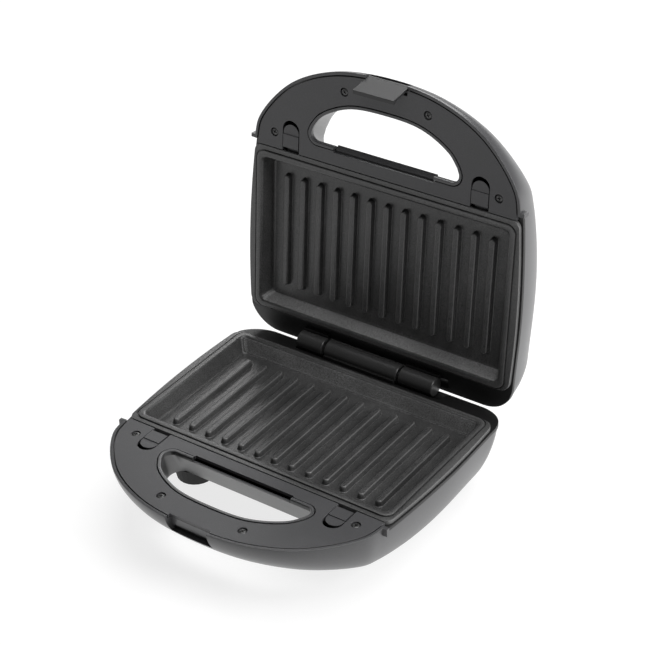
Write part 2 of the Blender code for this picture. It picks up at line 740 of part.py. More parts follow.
def make_frame(half, barrels):
    """The black inner frame: rim round the plate, skirt with a ledge, and hinge barrels."""
    name = f"{half.name}_frame"
    outline = shell_outline()
    frame = to_object(half, name, straight(outline, FRAME_SEAT_BOTTOM, LEDGE_TOP), FRAME_BLACK)
    cut(frame, beyond(half, f"{name}_under", rim_line(GAP), -40.0))
    seat = straight(inset(outline, FRAME_SEAT_INSET), FRAME_SEAT_BOTTOM, FRAME_BOTTOM + 1.0)
    skirt = drafted_well(SKIRT_WALL, SKIRT_BOTTOM, FRAME_BOTTOM + 2.0)
    join(frame, to_object(half, f"{name}_seat", seat))
    join(frame, to_object(half, f"{name}_skirt", skirt))
    well = drafted_well(0.0, SKIRT_BOTTOM + LEDGE_THICKNESS, 5.0)
    cut(frame, to_object(half, f"{name}_well", well))
    cut(frame, to_object(half, f"{name}_floor", straight(well_outline(-WELL_LEDGE), -40.0, 5.0)))
    cut(frame, beyond(half, f"{name}_fall", frame_line(), 10.0))
    front = box((-BEYOND_SIDE, -250.0, -40.0), (BEYOND_SIDE, FRAME_FRONT_Y, 7.0))
    cut(frame, to_object(half, f"{name}_front", front))
    for side in (-1, 1):
        x = side * LATCH_X
        slot = box((x - LATCH_FOOT_HALF - 0.4, -150.0, TAB_BOTTOM - 0.6),
                   (x + LATCH_FOOT_HALF + 0.4, WELL_FRONT_Y + SKIRT_DRAFT, 9.0))
        cut(frame, to_object(half, f"{name}_latch_slot_{side}", slot))
        ear = box((side * EAR_X - EAR_HALF - 0.5, WELL_REAR_Y - SKIRT_DRAFT, EAR_BOTTOM - 0.4),
                  (side * EAR_X + EAR_HALF + 0.5, EAR_REAR_Y + 0.5, EAR_TOP + 0.4))
        cut(frame, to_object(half, f"{name}_ear_pocket_{side}", ear))
    cut(frame, hinge_rod(half, f"{name}_hinge_notch", BARREL_CLEARANCE, NOTCH))
    z = hinge_line(half)
    for i, (left, right) in enumerate(barrels, 1):
        arm = box((left + 0.6, 0.5, ARM_BOTTOM), (right - 0.6, HINGE_Y - 2.0, ARM_TOP))
        join(frame, to_object(half, f"{name}_arm_{i}", arm))
        join(frame, hinge_rod(half, f"{name}_barrel_{i}", BARREL_RADIUS, (left, right)))
    cut(frame, hinge_rod(half, f"{name}_pin_bore", PIN_RADIUS + GAP, (NOTCH[0] - 1.0, NOTCH[1])))
    if half is BASE:
        for i, (x, y) in enumerate(BASE_SCREW_PLACES, 1):
            bore = rod(SCREW_SHANK_RADIUS + GAP, (x, y, -30.0), (x, y, BASE_SCREW_TOP + 0.5),
                       segments=SMALL_SEGMENTS)
            cut(frame, to_object(half, f"{name}_screw_bore_{i}", bore))
    return frame


# ================================================================================================
# Plate, reflector and heating element
# ================================================================================================
def pan_outline(step, radius):
    """The pan's edge moved outwards by step."""
    return round_rectangle(PAN_HALF + step, PAN_FRONT_Y - step, PAN_REAR_Y + step, radius)


def make_plate(half):
    """A cast pan with a bowed flange, a sealing bead and ribs on its floor."""
    name = f"{half.name}_plate"
    bottom = -PAN_DEPTH - PLATE_WALL
    rings = [
        lifted(pan_outline(PLATE_WALL - PAN_DRAFT, 6.0), bottom),
        lifted(pan_outline(PLATE_WALL, 7.0), FLANGE_BOTTOM),
        lifted(plate_outline(), FLANGE_BOTTOM),
        lifted(plate_outline(), FLANGE_TOP),
        lifted(pan_outline(BEAD_OUT, 7.0), FLANGE_TOP),
        lifted(pan_outline(BEAD_OUT - 0.8, 6.5), BEAD_TOP),
        lifted(pan_outline(BEAD_IN, 5.0), BEAD_TOP),
        lifted(pan_outline(0.0, 4.0), FLANGE_TOP),
        lifted(pan_outline(-PAN_DRAFT, 3.0), -PAN_DEPTH),
    ]
    plate = to_object(half, name, loft(rings), PLATE_COAT)
    half_rib = RIB_WIDTH / 2.0
    low = -PAN_DEPTH - 1.0
    high = RIB_HEIGHT - PAN_DEPTH
    for k in range(RIB_COUNT):
        x = (k - (RIB_COUNT - 1) / 2.0) * RIB_PITCH
        outline = arc((x, RIB_FRONT_Y + half_rib), half_rib, 180.0, 360.0, 5)
        outline += arc((x, RIB_REAR_Y - half_rib), half_rib, 0.0, 180.0, 5)
        rib = to_object(half, f"{name}_rib_{k + 1}", slab(outline, low, high))
        crown = rib.modifiers.new("crown", "BEVEL")
        crown.width = RIB_CROWN * MM
        crown.segments = 1
        crown.limit_method = "ANGLE"
        crown.angle_limit = math.radians(60.0)
        join(plate, rib)
    for side in (-1, 1):
        x = side * LATCH_X
        tab = box((x - LATCH_FOOT_HALF + 1.0, TAB_FRONT_Y, TAB_BOTTOM),
                  (x + LATCH_FOOT_HALF - 1.0, PAN_FRONT_Y - 0.8, TAB_TOP))
        ear = box((side * EAR_X - EAR_HALF, PAN_REAR_Y + 0.8, EAR_BOTTOM),
                  (side * EAR_X + EAR_HALF, EAR_REAR_Y, EAR_TOP))
        join(plate, to_object(half, f"{name}_tab_{side}", tab))
        join(plate, to_object(half, f"{name}_ear_{side}", ear))
    return plate


def make_reflector(half):
    """The sheet tray under the plate, with two holes for the element's legs."""
    name = f"{half.name}_reflector"
    edge = -SKIRT_DRAFT - 0.7
    tray = to_object(half, name, straight(well_outline(edge), REFLECTOR_FLOOR, REFLECTOR_TOP),
                     STEEL)
    inside = straight(well_outline(edge - REFLECTOR_SHEET), REFLECTOR_FLOOR + REFLECTOR_SHEET, 5.0)
    cut(tray, to_object(half, f"{name}_inside", inside))
    for side in (-1, 1):
        x = side * HEATER_LEG_X
        hole = rod(HEATER_HOLE, (x, HEATER_REAR_Y, -40.0), (x, HEATER_REAR_Y, 5.0))
        cut(tray, to_object(half, f"{name}_leg_hole_{side}", hole))
    return tray


def tube(half, name, points, radius, material, resolution):
    """A round wire or tube along points: a curve made into a mesh with its caps welded on."""
    curve = bpy.data.curves.new(name, "CURVE")
    curve.dimensions = "3D"
    curve.bevel_depth = radius
    curve.bevel_resolution = resolution
    curve.use_fill_caps = True
    spline = curve.splines.new("POLY")
    spline.points.add(len(points) - 1)
    for point, place in zip(spline.points, points):
        point.co = (*place, 1.0)
    holder = bpy.data.objects.new(name, curve)
    CUTTERS.objects.link(holder)
    bpy.context.view_layer.update()
    evaluated = holder.evaluated_get(bpy.context.evaluated_depsgraph_get())
    mesh = bpy.data.meshes.new_from_object(evaluated)
    bm = bmesh.new()
    bm.from_mesh(mesh)
    bpy.data.objects.remove(holder)
    bpy.data.curves.remove(curve)
    bpy.data.meshes.remove(mesh)
    bmesh.ops.remove_doubles(bm, verts=bm.verts, dist=WELD)
    bmesh.ops.recalc_face_normals(bm, faces=bm.faces)
    return to_object(half, name, bm, material)


def make_heater(half):
    """The tubular element: one loop under the plate, both ends turned down through the tray."""
    z = HEATER_Z
    r = HEATER_BEND
    leg = 7.0
    right = [Vector((0.0, HEATER_FRONT_Y, z))]
    right += [Vector((p.x, p.y, z)) for p in
              arc((HEATER_HALF - r, HEATER_FRONT_Y + r), r, -90.0, 0.0, 5)]
    right += [Vector((p.x, p.y, z)) for p in
              arc((HEATER_HALF - r, HEATER_REAR_Y - r), r, 0.0, 90.0, 5)]
    right += [Vector((p.x, HEATER_REAR_Y, p.y)) for p in
              arc((HEATER_LEG_X + leg, z - leg), leg, 90.0, 180.0, 4)]
    right.append(Vector((HEATER_LEG_X, HEATER_REAR_Y, HEATER_LEG_END)))
    left = [Vector((-p.x, p.y, p.z)) for p in reversed(right[1:])]
    return tube(half, f"{half.name}_heating_element", left + right, HEATER_RADIUS, STEEL, 1)


# ================================================================================================
# Plate latches
# ================================================================================================
def make_latch(half, side):
    """A tongue that slides forward in the cover's slot, its foot under the cover and its nose
    over the plate's tab, with a spring in front of it. Both ride on the latch's own empty."""
    label = "left" if side < 0 else "right"
    x = side * LATCH_X
    z = LATCH_FOOT_TOP
    origin = Vector((x, LATCH_REAR_Y, -z if half.mirrored else z))
    offset = (origin - half.origin) * MM
    empty = axis_empty(f"{half.name}_latch_{label}_axis", offset, parent=half.empty)
    own = Half(half.name, half.mirrored, empty, origin)
    name = f"{half.name}_latch_{label}"
    tongue = slab(latch_outline(side, LATCH_HALF, LATCH_FRONT_Y, LATCH_REAR_Y),
                  LATCH_FOOT_BOTTOM, LATCH_TOP)
    latch = to_object(own, name, tongue, COVER_BLACK)
    foot = box((x - LATCH_FOOT_HALF, LATCH_FRONT_Y + 1.0, LATCH_FOOT_BOTTOM),
               (x + LATCH_FOOT_HALF, LATCH_REAR_Y - 1.5, LATCH_FOOT_TOP))
    nose = box((x - LATCH_NOSE_HALF, LATCH_REAR_Y - 3.0, LATCH_FOOT_BOTTOM),
               (x + LATCH_NOSE_HALF, LATCH_NOSE_Y, LEDGE_TOP))
    thumb = box((x - LATCH_HALF - 1.0, LATCH_FRONT_Y - 1.0, LATCH_TOP - 0.7),
                (x + LATCH_HALF + 1.0, LATCH_FRONT_Y + 8.0, LATCH_TOP + 1.0))
    join(latch, to_object(own, f"{name}_foot", foot))
    join(latch, to_object(own, f"{name}_nose", nose))
    cut(latch, to_object(own, f"{name}_thumb", thumb))
    steps = SPRING_TURNS * 6
    start = LATCH_FRONT_Y - GAP - SPRING_WIRE
    height = LATCH_FOOT_TOP - SPRING_RADIUS - SPRING_WIRE
    points = []
    for k in range(steps + 1):
        turn = 2.0 * math.pi * k / 6.0
        points.append(Vector((x + SPRING_RADIUS * math.cos(turn),
                              start - SPRING_LENGTH * k / steps,
                              height + SPRING_RADIUS * math.sin(turn))))
    tube(own, f"{half.name}_latch_spring_{label}", points, SPRING_WIRE, STEEL, 0)


# ================================================================================================
# Clip
# ================================================================================================
def make_clip():
    """The flap on the lid's front that swings over the base's catch, and the pin it turns on."""
    pivot = Vector((CLIP_PIVOT_Y, CLIP_PIVOT_Z))
    origin = Vector((0.0, CLIP_PIVOT_Y, -CLIP_PIVOT_Z))
    empty = axis_empty("lid_clip_axis", (origin - LID.origin) * MM, parent=LID.empty)
    own = Half("lid", True, empty, origin)
    tip = Vector((CLIP_TIP_Y, CLIP_REACH))
    along = (tip - pivot - Vector((-CLIP_RADIUS, 0.0))).normalized()
    inward = Vector((along.y, -along.x))
    start = tip - along * (CLIP_REACH - CLIP_PIVOT_Z)
    lip_low = tip - along * CLIP_LIP_HEIGHT
    profile = [start, tip, tip + inward * (CLIP_THICKNESS + CLIP_LIP),
               lip_low + inward * (CLIP_THICKNESS + CLIP_LIP), lip_low + inward * CLIP_THICKNESS,
               start + inward * CLIP_THICKNESS]
    flap = to_object(own, "lid_clip", slab(profile, -CLIP_HALF, CLIP_HALF, "YZ"), COVER_BLACK)
    barrel = rod(CLIP_RADIUS, (-CLIP_HALF, *pivot), (CLIP_HALF, *pivot), "X", HEAD_SEGMENTS)
    bore = rod(CLIP_PIN_RADIUS + GAP, (-CLIP_HALF - 1.0, *pivot), (CLIP_HALF + 1.0, *pivot), "X",
               SMALL_SEGMENTS)
    join(flap, to_object(own, "lid_clip_barrel", barrel))
    cut(flap, to_object(own, "lid_clip_bore", bore))
    pin_half = CATCH_HALF + 2.5
    pin = rod(CLIP_PIN_RADIUS, (-pin_half, *pivot), (pin_half, *pivot), "X", SMALL_SEGMENTS)
    to_object(LID, "lid_clip_pin", pin, STEEL)
    return pivot, pin_half


# ================================================================================================
# Base only: feet, screws, gland and electrics
# ================================================================================================
def make_feet():
    """Four feet that follow the belly of the shell."""
    around = inset(shell_outline(), -GAP)
    for i, (x, y) in enumerate(FOOT_PLACES, 1):
        foot = cone(FOOT_BOTTOM_RADIUS, FOOT_TOP_RADIUS, (x, y, -FOOT_FLOOR),
                    (x, y, FOOT_HEIGHT - FOOT_FLOOR))
        piece = to_object(BASE, f"foot_{i}", foot, RUBBER)
        belly = loft(shell_rings(around, -GAP, 3.0))
        cut(piece, to_object(BASE, f"foot_{i}_belly", belly))


def make_base_screws(shell):
    """Screws from below, through bosses of the shell into the frame."""
    head_z = BASE_SCREW_TOP - BASE_SCREW_LENGTH - SCREW_HEAD_HEIGHT
    for i, (x, y) in enumerate(BASE_SCREW_PLACES, 1):
        well = rod(SCREW_HEAD_RADIUS + 0.5, (x, y, -60.0), (x, y, head_z + SCREW_HEAD_HEIGHT
                                                           + GAP), segments=HEAD_SEGMENTS)
        bore = rod(SCREW_SHANK_RADIUS + GAP, (x, y, -60.0), (x, y, 0.0), segments=SMALL_SEGMENTS)
        cut(shell, to_object(BASE, f"base_shell_screw_well_{i}", well))
        cut(shell, to_object(BASE, f"base_shell_screw_way_{i}", bore))
        make_screw(BASE, f"base_screw_{i}", x, y, head_z, BASE_SCREW_LENGTH, -1.0)


def make_gland(shell):
    """The bush in the rear wall that the mains lead would come out of."""
    z = GLAND_Z
    bush = rod(GLAND_RADIUS, (GLAND_X, GLAND_INNER_Y, z), (GLAND_X, GLAND_FLANGE_Y + 0.5, z), "Y")
    flange = rod(GLAND_FLANGE, (GLAND_X, GLAND_FLANGE_Y, z),
                 (GLAND_X, GLAND_FLANGE_Y + 2.2, z), "Y")
    bore = rod(GLAND_BORE, (GLAND_X, GLAND_INNER_Y - 2.0, z), (GLAND_X, BEYOND_REAR_Y, z), "Y",
               HEAD_SEGMENTS)
    hole = rod(GLAND_RADIUS + GAP, (GLAND_X, GLAND_INNER_Y + 1.0, z),
               (GLAND_X, BEYOND_REAR_Y, z), "Y")
    gland = to_object(BASE, "cord_gland", bush, RUBBER)
    join(gland, to_object(BASE, "cord_gland_flange", flange))
    cut(gland, to_object(BASE, "cord_gland_bore", bore))
    cut(shell, to_object(BASE, "base_shell_gland_hole", hole))


def make_electrics():
    """Thermostat and fuse under the base's tray, and the terminal block by the rear wall."""
    top = REFLECTOR_FLOOR - GAP
    thermostat = to_object(BASE, "thermostat", rod(8.5, (0.0, -80.0, top - 8.0),
                                                   (0.0, -80.0, top)), CERAMIC)
    for side in (-1, 1):
        blade = box((side * 10.5 - 4.0, -82.5, top - 5.2), (side * 10.5 + 4.0, -77.5, top - 4.2))
        join(thermostat, to_object(BASE, f"thermostat_blade_{side}", blade))
    fuse = rod(2.0, (-52.0, -60.0, top - 2.4), (-36.0, -60.0, top - 2.4), "X", SMALL_SEGMENTS)
    to_object(BASE, "thermal_fuse", fuse, STEEL)
    block = to_object(BASE, "terminal_block", box((30.0, -30.0, -42.0), (60.0, -14.0, -31.0)),
                      CERAMIC)
    for k in range(3):
        x = 35.0 + 10.0 * k
        well = rod(2.4, (x, -22.0, -36.0), (x, -22.0, -28.0), segments=SMALL_SEGMENTS)
        cut(block, to_object(BASE, f"terminal_block_well_{k + 1}", well))


def make_lamps(shell):
    """Two indicator lenses on the lid's outer face."""
    for label, x, material in (("power", -LAMP_X, LENS_RED), ("ready", LAMP_X, LENS_GREEN)):
        face = -belly_depth(LAMP_Y)
        lens = rod(LAMP_RADIUS, (x, LAMP_Y, face - 0.8), (x, LAMP_Y, face + 6.0),
                   segments=HEAD_SEGMENTS)
        hole = rod(LAMP_RADIUS + GAP, (x, LAMP_Y, face - 5.0), (x, LAMP_Y, face + 8.0),
                   segments=HEAD_SEGMENTS)
        to_object(LID, f"{label}_lamp_lens", lens, material)
        cut(shell, to_object(LID, f"lid_shell_{label}_lamp_hole", hole))


# ================================================================================================
# Assembly
# ================================================================================================
def make_half(half, barrels):
    shell = make_shell(half)
    cover = make_cover(half)
    make_cover_screws(half)
    make_frame(half, barrels)
    make_plate(half)
    make_reflector(half)
    make_heater(half)
    for side in (-1, 1):
        make_latch(half, side)
    return shell, cover


base_shell, base_cover = make_half(BASE, BASE_BARRELS)
lid_shell, lid_cover = make_half(LID, LID_BARRELS)
hinge_rod(BASE, "hinge_pin", PIN_RADIUS, (LID_BARRELS[0][0] + 1.0, LID_BARRELS[1][1] - 1.0),
          STEEL)
pivot, pin_half = make_clip()
pin_way = rod(CLIP_PIN_RADIUS + GAP, (-pin_half - GAP, *pivot), (pin_half + GAP, *pivot), "X",
              SMALL_SEGMENTS)
cut(lid_shell, to_object(LID, "lid_shell_clip_pin_bore", pin_way))
make_lamps(lid_shell)
make_feet()
make_base_screws(base_shell)
make_gland(base_shell)
make_electrics()
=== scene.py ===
"""Panini press, standing open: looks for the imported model, in metres in the model's own frame.

The fine pieces are made in the frame of one half, in millimetres: x to the right seen from the front,
y to the rear, z up out of the pan, z = 0 on the parting plane. The lid is the same half mirrored and
turned open about the hinge.
"""
import json
import math

import bmesh
import bpy
from mathutils import Matrix, Vector


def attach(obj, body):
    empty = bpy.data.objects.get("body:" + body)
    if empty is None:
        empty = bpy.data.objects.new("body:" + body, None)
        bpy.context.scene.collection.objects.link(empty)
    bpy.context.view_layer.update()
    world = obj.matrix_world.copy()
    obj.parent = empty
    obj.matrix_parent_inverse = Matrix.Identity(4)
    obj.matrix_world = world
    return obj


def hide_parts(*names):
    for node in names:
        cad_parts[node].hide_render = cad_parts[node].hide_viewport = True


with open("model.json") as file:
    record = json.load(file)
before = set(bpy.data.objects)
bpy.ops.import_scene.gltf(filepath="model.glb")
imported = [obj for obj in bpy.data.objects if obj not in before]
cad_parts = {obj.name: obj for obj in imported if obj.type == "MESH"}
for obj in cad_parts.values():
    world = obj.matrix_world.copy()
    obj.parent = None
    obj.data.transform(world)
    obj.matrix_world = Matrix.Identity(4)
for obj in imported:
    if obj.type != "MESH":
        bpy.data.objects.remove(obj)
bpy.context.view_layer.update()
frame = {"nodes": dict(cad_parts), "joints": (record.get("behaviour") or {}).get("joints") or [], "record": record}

MM = 0.001
GAP = 0.3                      # clearance between neighbouring pieces
TINY = 1e-6
ROUND = 48                     # sides of a turned piece
TOUCH = 0.05                   # keeps the faces of joined shapes off one plane
ROUND_SHARE = 0.3              # a rounded edge's middle point stands in by this share

# ---- cutters run past the object to these places -----------------------------------------------
BEYOND_SIDE = 130.0
BEYOND_FRONT_Y = -250.0
BEYOND_REAR_Y = 30.0
BEYOND_TOP = 5.0
BEYOND_COVER = -10.0           # below the handle cover
BEYOND_WELL = -30.0            # below the cover and the frame's well
BEYOND_SEAT = -40.0            # below the frame's seat
BEYOND_BELLY = -60.0           # below the whole half
OVERRUN = 5.0                  # a little further still

# ---- the hinge, from the record ----------------------------------------------------------------
JOINTS = {joint["name"]: joint for joint in frame["joints"]}
HINGE_Y = 9.2
HINGE_Z = -0.75
HINGE = Vector(JOINTS["lid_hinge"]["pos_m"])
OPEN_ANGLE = JOINTS["lid_hinge"]["range_deg"][1]
STAND = HINGE - Vector((0.0, HINGE_Y, HINGE_Z)) * MM

# ---- shell -------------------------------------------------------------------------------------
BODY_DEPTH = 47.0
HANDLE_DEPTH = 31.0            # shell depth at the very front
BODY_FRONT = -70.0             # where the belly reaches its full depth
BELLY_POWER = 1.75
SIDE_TAPER = 14.5
FRONT_TAPER = 28.5
REAR_TAPER = 14.0
EDGE_POWER = 1.62              # roundness of the shell's section
WALL = 2.5
OUTLINE_Y = -101.0             # the sections shrink towards this line
HALF_WIDTH = 115.5
FRONT_Y = -211.8
REAR_Y = 15.05
REAR_HALF = 114.0              # half width where the rear corners begin
CORNER_RADIUS = 24.0
SHELL_SIDE_RIM = -7.0          # the black frame stands on the shell's rim here
RIM_DROP_Y = -10.0             # behind this line the shell's rim falls away
RIM_DROP = 0.14
SHELL_FRONT_RIM = -0.9
RIM_STEP_Y = -140.8
RIM_ROUND = 0.45
LEVELS = 20                    # sections from rim to belly
OUTLINE_STEPS = 10             # points between two places of the outline
FINE_INSET = 0.09              # keeps the finer outline inside the coarse one
CORNER_STEPS = 14
CAVITY_TOP = 3.0
BLOCK_HALF = 21.0              # solid block behind the catch and the clip
BLOCK_REAR_Y = -197.5
BLOCK_TOP = -4.0

# ---- handle cover and finger opening -----------------------------------------------------------
COVER_TOP = -1.2
COVER_THICKNESS = 2.5
COVER_INSET = 3.2
COVER_SEAM = 1.1               # open joint between the cover and the shell's rim
COLLAR_SEAM = 0.75             # and between the cover and the opening's collar
COVER_REAR_Y = -137.7
COVER_ROUND = 0.35
REBATE_TOP = 4.0
REBATE_CORE_TOP = 6.0
OPENING_REAR_Y = -149.0
OPENING_FRONT_Y = -187.5
OPENING_HALF = 63.5
OPENING_CORNER = 8.0           # radius of the rear corners
OPENING_CORNER_START = -25.0   # degrees
COLLAR = 2.3
COLLAR_ROUND = 0.6
SEAM = 0.1                     # the collar steps in by this much beside the cover
OPENING_LIP = -4.3             # the walls are upright down to here
OPENING_REAR_SLOPE = 0.76      # the opening's rear wall leans back below the cover
OPENING_END_SLOPE = 0.45
VENT_HALF = 41.5
VENT_DEPTH = 2.0
VENT_BOTTOM = -4.5
VENT_RAMP_Y = -148.4           # the lid's vent is deeper and has a ramp in it
VENT_RAMP_RUN = 2.6
VENT_RAMP_SHELF = 1.4
VENT_RAMP_TOP = VENT_BOTTOM + 0.5
VENT_RAMP_BOTTOM = -7.2
VENT_FLOOR = {"base": VENT_BOTTOM, "lid": VENT_RAMP_BOTTOM + 0.2}
OPENING_MIDDLE_Y = -168.0
SCREW_PLACES = ((-93.0, -149.5), (-34.1, -194.3), (34.1, -194.3), (93.0, -149.5))
SCREW_HEAD_RADIUS = 2.9
SCREW_HEAD_HEIGHT = 1.6
SCREW_RECESS = 0.5
SCREW_SEAT_GAP = 0.4
SCREW_TURN = 0.35              # each screw's cross is turned further by this, in radians
CROSS_LENGTH = 4.6
CROSS_WIDTH = 1.25
CROSS_DEPTH = 1.1
CROSS_TAPER = (0.28, 0.5)      # radii of the cross's arms at the bottom and the top
NUB_X = 111.0
NUB_Y = -142.3
NUB_BOTTOM = -6.8
NUB_HALF = 2.4
NUB_DEPTH = 1.4

# ---- plate -------------------------------------------------------------------------------------
PLATE_FRONT_Y = -137.0
PLATE_REAR_Y = -5.5
PLATE_FRONT_HALF = 110.5
PLATE_REAR_HALF = 112.5
PLATE_FRONT_RADIUS = 6.0
PLATE_REAR_RADIUS = 8.0
PLATE_BOW = 2.4                # the side flanges bow out by this much
FLANGE_TOP = -1.0
FLANGE_BOTTOM = -3.9
BEAD_TOP = -0.3
PAN_HALF = 103.0
PAN_FRONT_Y = -128.0
PAN_REAR_Y = -11.4
PAN_DEPTH = 12.0
PAN_DRAFT = 3.4
PLATE_WALL = 2.2
BEAD_OUT = 5.0                 # groove line outside the pan's edge
BEAD_IN = 1.2
RIB_COUNT = 13
RIB_PITCH = 14.43
RIB_WIDTH = 5.6
RIB_HEIGHT = 4.2
RIB_FRONT_Y = -115.3
RIB_REAR_Y = -24.8
RIB_ROOT = 1.0                 # the ribs reach down into the pan's floor

# ---- frame and hinge barrels -------------------------------------------------------------------
FRAME_BOTTOM = SHELL_SIDE_RIM + GAP
FRAME_SEAT_BOTTOM = -11.5
FRAME_SEAT_INSET = 4.6
FRAME_DROP_Y = -3.0            # behind this line the frame's top falls away
FRAME_DROP = 0.19
FRAME_FRONT_Y = RIM_STEP_Y + GAP
FRAME_ROUND = 0.5
FRAME_CUT_TOP = 7.0
LEDGE_TOP = FLANGE_BOTTOM - GAP
WELL_HALF = 107.0
WELL_FRONT_Y = -131.9
WELL_REAR_Y = -7.6
WELL_RADIUS = 7.0
BARREL_RADIUS = 7.0
BARREL_CHAMFER = 0.5
BARREL_CLEARANCE = 8.2
NOTCH = (-65.0, 61.0)
BARRELS = {"base": ((-38.5, 24.5),), "lid": ((-63.5, -41.0), (26.5, 55.0))}
ARM_INSET = 0.6                # an arm is narrower than its barrel by this, at each end
ARM_FRONT_Y = 0.5
ARM_REAR_Y = HINGE_Y - 2.0
ARM_BOTTOM = -6.0
ARM_TOP = -1.8

# ---- plate latches -----------------------------------------------------------------------------
LATCH_X = 78.5
LATCH_HALF = 6.6
LATCH_REAR_Y = -140.6
LATCH_FRONT_Y = -158.4
LATCH_FOOT_HALF = 8.6
LATCH_FOOT_TOP = COVER_TOP - COVER_THICKNESS - GAP
LATCH_FOOT_BOTTOM = -5.9
LATCH_TOP = -0.8
LATCH_SEAM = 0.7               # open joint round the tongue
LATCH_SHEET = 1.4              # thickness of the tongue's free front end
LATCH_SLOT_FRONT_Y = -161.6
LATCH_SLOT_REAR_Y = COVER_REAR_Y + 2.0
LATCH_ROUND = 0.25
LATCH_NECK_FRONT_Y = LATCH_FRONT_Y + 5.0
LATCH_NECK_TOP = LATCH_TOP - 0.9
LATCH_NECK_INSET = 0.1
LATCH_FOOT_FRONT_Y = LATCH_FRONT_Y + 4.0
LATCH_FOOT_REAR_Y = LATCH_REAR_Y - 1.5
LATCH_NOSE_FRONT_Y = LATCH_REAR_Y - 3.0
LATCH_NOSE_Y = -133.6
LATCH_NOSE_HALF = 5.0
LATCH_THUMB_REAR_Y = LATCH_FRONT_Y + 8.0
LATCH_THUMB_STEP = 0.7
LATCH_POCKET_GAP = 0.4
LATCH_POCKET_FRONT_Y = -150.0
LATCH_POCKET_REAR_Y = WELL_FRONT_Y + 4.0
LATCH_POCKET_BOTTOM = -8.6
LATCH_POCKET_TOP = 9.0

# ---- clip and catch ----------------------------------------------------------------------------
CLIP_HALF = 16.5
CLIP_PIVOT_Y = -207.2
CLIP_PIVOT_Z = -4.7
CLIP_REACH = 15.0              # how far the flap stands out of the lid
CLIP_TIP_Y = -205.4
CLIP_RADIUS = 2.6
CLIP_THICKNESS = 1.9
CLIP_LIP = 1.3
CLIP_LIP_HEIGHT = 2.2
CLIP_ROUND = 0.3
CLIP_SWING_REAR_Y = -203.9     # rear face of the notch in the lid
CLIP_SWING_BOTTOM = -9.5
CATCH_TOP_Y = -206.4
CATCH_SLOPE = 0.223
CATCH_BOTTOM = -15.9
CATCH_GROOVE = 1.7
CATCH_CLEARANCE = 1.0          # room over the clip's lip in the closed press
CATCH_HALF = 17.2
NOTCH_FRONT_Y = FRONT_Y - 3.0
NOTCH_TOP = 3.0


# ================================================================================================
# The two halves
# ================================================================================================
class Half:
    """Base or lid: its matrix takes the half frame, in metres, to the model's place."""

    def __init__(self, name, mirrored, location, angle, origin):
        self.name = name
        self.mirrored = mirrored
        flip = Matrix.Diagonal((1.0, 1.0, -1.0 if mirrored else 1.0, 1.0))
        turn = Matrix.Rotation(math.radians(angle), 4, "X")
        place = Matrix.Translation(location) @ turn
        self.matrix = place @ Matrix.Translation(-Vector(origin) * MM) @ flip


BASE = Half("base", False, STAND, 0.0, (0.0, 0.0, 0.0))
LID = Half("lid", True, HINGE, -OPEN_ANGLE, (0.0, HINGE_Y, HINGE_Z))


# ================================================================================================
# Mesh helpers, all in half-frame millimetres
# ================================================================================================
def to_object(name, bm):
    """Wrap a bmesh in an object that stands in the half frame, in metres, until it is settled."""
    bmesh.ops.scale(bm, vec=(MM, MM, MM), verts=bm.verts)
    mesh = bpy.data.meshes.new(name)
    bm.to_mesh(mesh)
    bm.free()
    obj = bpy.data.objects.new(name, mesh)
    bpy.context.scene.collection.objects.link(obj)
    return obj


def freeze(obj):
    """Apply the object's modifiers to its mesh."""
    bpy.context.view_layer.update()
    evaluated = obj.evaluated_get(bpy.context.evaluated_depsgraph_get())
    mesh = bpy.data.meshes.new_from_object(evaluated)
    old = obj.data
    obj.modifiers.clear()
    obj.data = mesh
    bpy.data.meshes.remove(old)


def apply_tools(target, operation, tools):
    """Cut or join the target with finished objects, in exact Booleans that use them up."""
    for tool in tools:
        step = target.modifiers.new("combine", "BOOLEAN")
        step.operation = operation
        step.solver = "EXACT"
        step.object = tool
    freeze(target)
    for tool in tools:
        mesh = tool.data
        bpy.data.objects.remove(tool)
        bpy.data.meshes.remove(mesh)


def combine(target, operation, shapes):
    """Cut shapes away from the target, or join them to it."""
    apply_tools(target, operation, [to_object("tool", bm) for bm in shapes])


def round_edges(obj, width, segments=2, angle=35.0):
    """Clean up after the Booleans and round the sharp edges."""
    bm = bmesh.new()
    bm.from_mesh(obj.data)
    bmesh.ops.remove_doubles(bm, verts=bm.verts, dist=2e-6)
    bmesh.ops.dissolve_limit(bm, angle_limit=math.radians(0.4), verts=bm.verts, edges=bm.edges)
    bm.to_mesh(obj.data)
    bm.free()
    bevel = obj.modifiers.new("round", "BEVEL")
    bevel.width = width * MM
    bevel.segments = segments
    bevel.limit_method = "ANGLE"
    bevel.angle_limit = math.radians(angle)
    bevel.miter_outer = "MITER_ARC"
    freeze(obj)


def settle(half, obj, material, body, slot, *nodes, patch=None, where=None):
    """Bring a finished piece into its half's place, and give it its material and its body.

    It stands for its CAD nodes. A patch material goes on the faces whose centre, in half-frame
    millimetres, and normal satisfy where(). The patches here are painted shade and painted light.
    """
    obj.data.materials.clear()
    obj.data.materials.append(material)
    if patch is not None:
        obj.data.materials.append(patch)
    for face in obj.data.polygons:
        face.material_index = int(where is not None and where(face.center / MM, face.normal))
    obj.data.transform(half.matrix)
    if half.mirrored:
        obj.data.flip_normals()
    obj.data.shade_smooth()
    obj.data.set_sharp_from_angle(angle=math.radians(38.0))
    even = obj.modifiers.new("even", "WEIGHTED_NORMAL")
    even.keep_sharp = True
    even.weight = 90
    freeze(obj)
    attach(obj, body)
    if nodes:
        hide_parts(*nodes)
    return obj


def box(low, high):
    bm = bmesh.new()
    size = Vector(high) - Vector(low)
    middle = (Vector(high) + Vector(low)) / 2.0
    matrix = Matrix.Translation(middle) @ Matrix.Diagonal((*size, 1.0))
    bmesh.ops.create_cube(bm, size=1.0, matrix=matrix)
    return bm


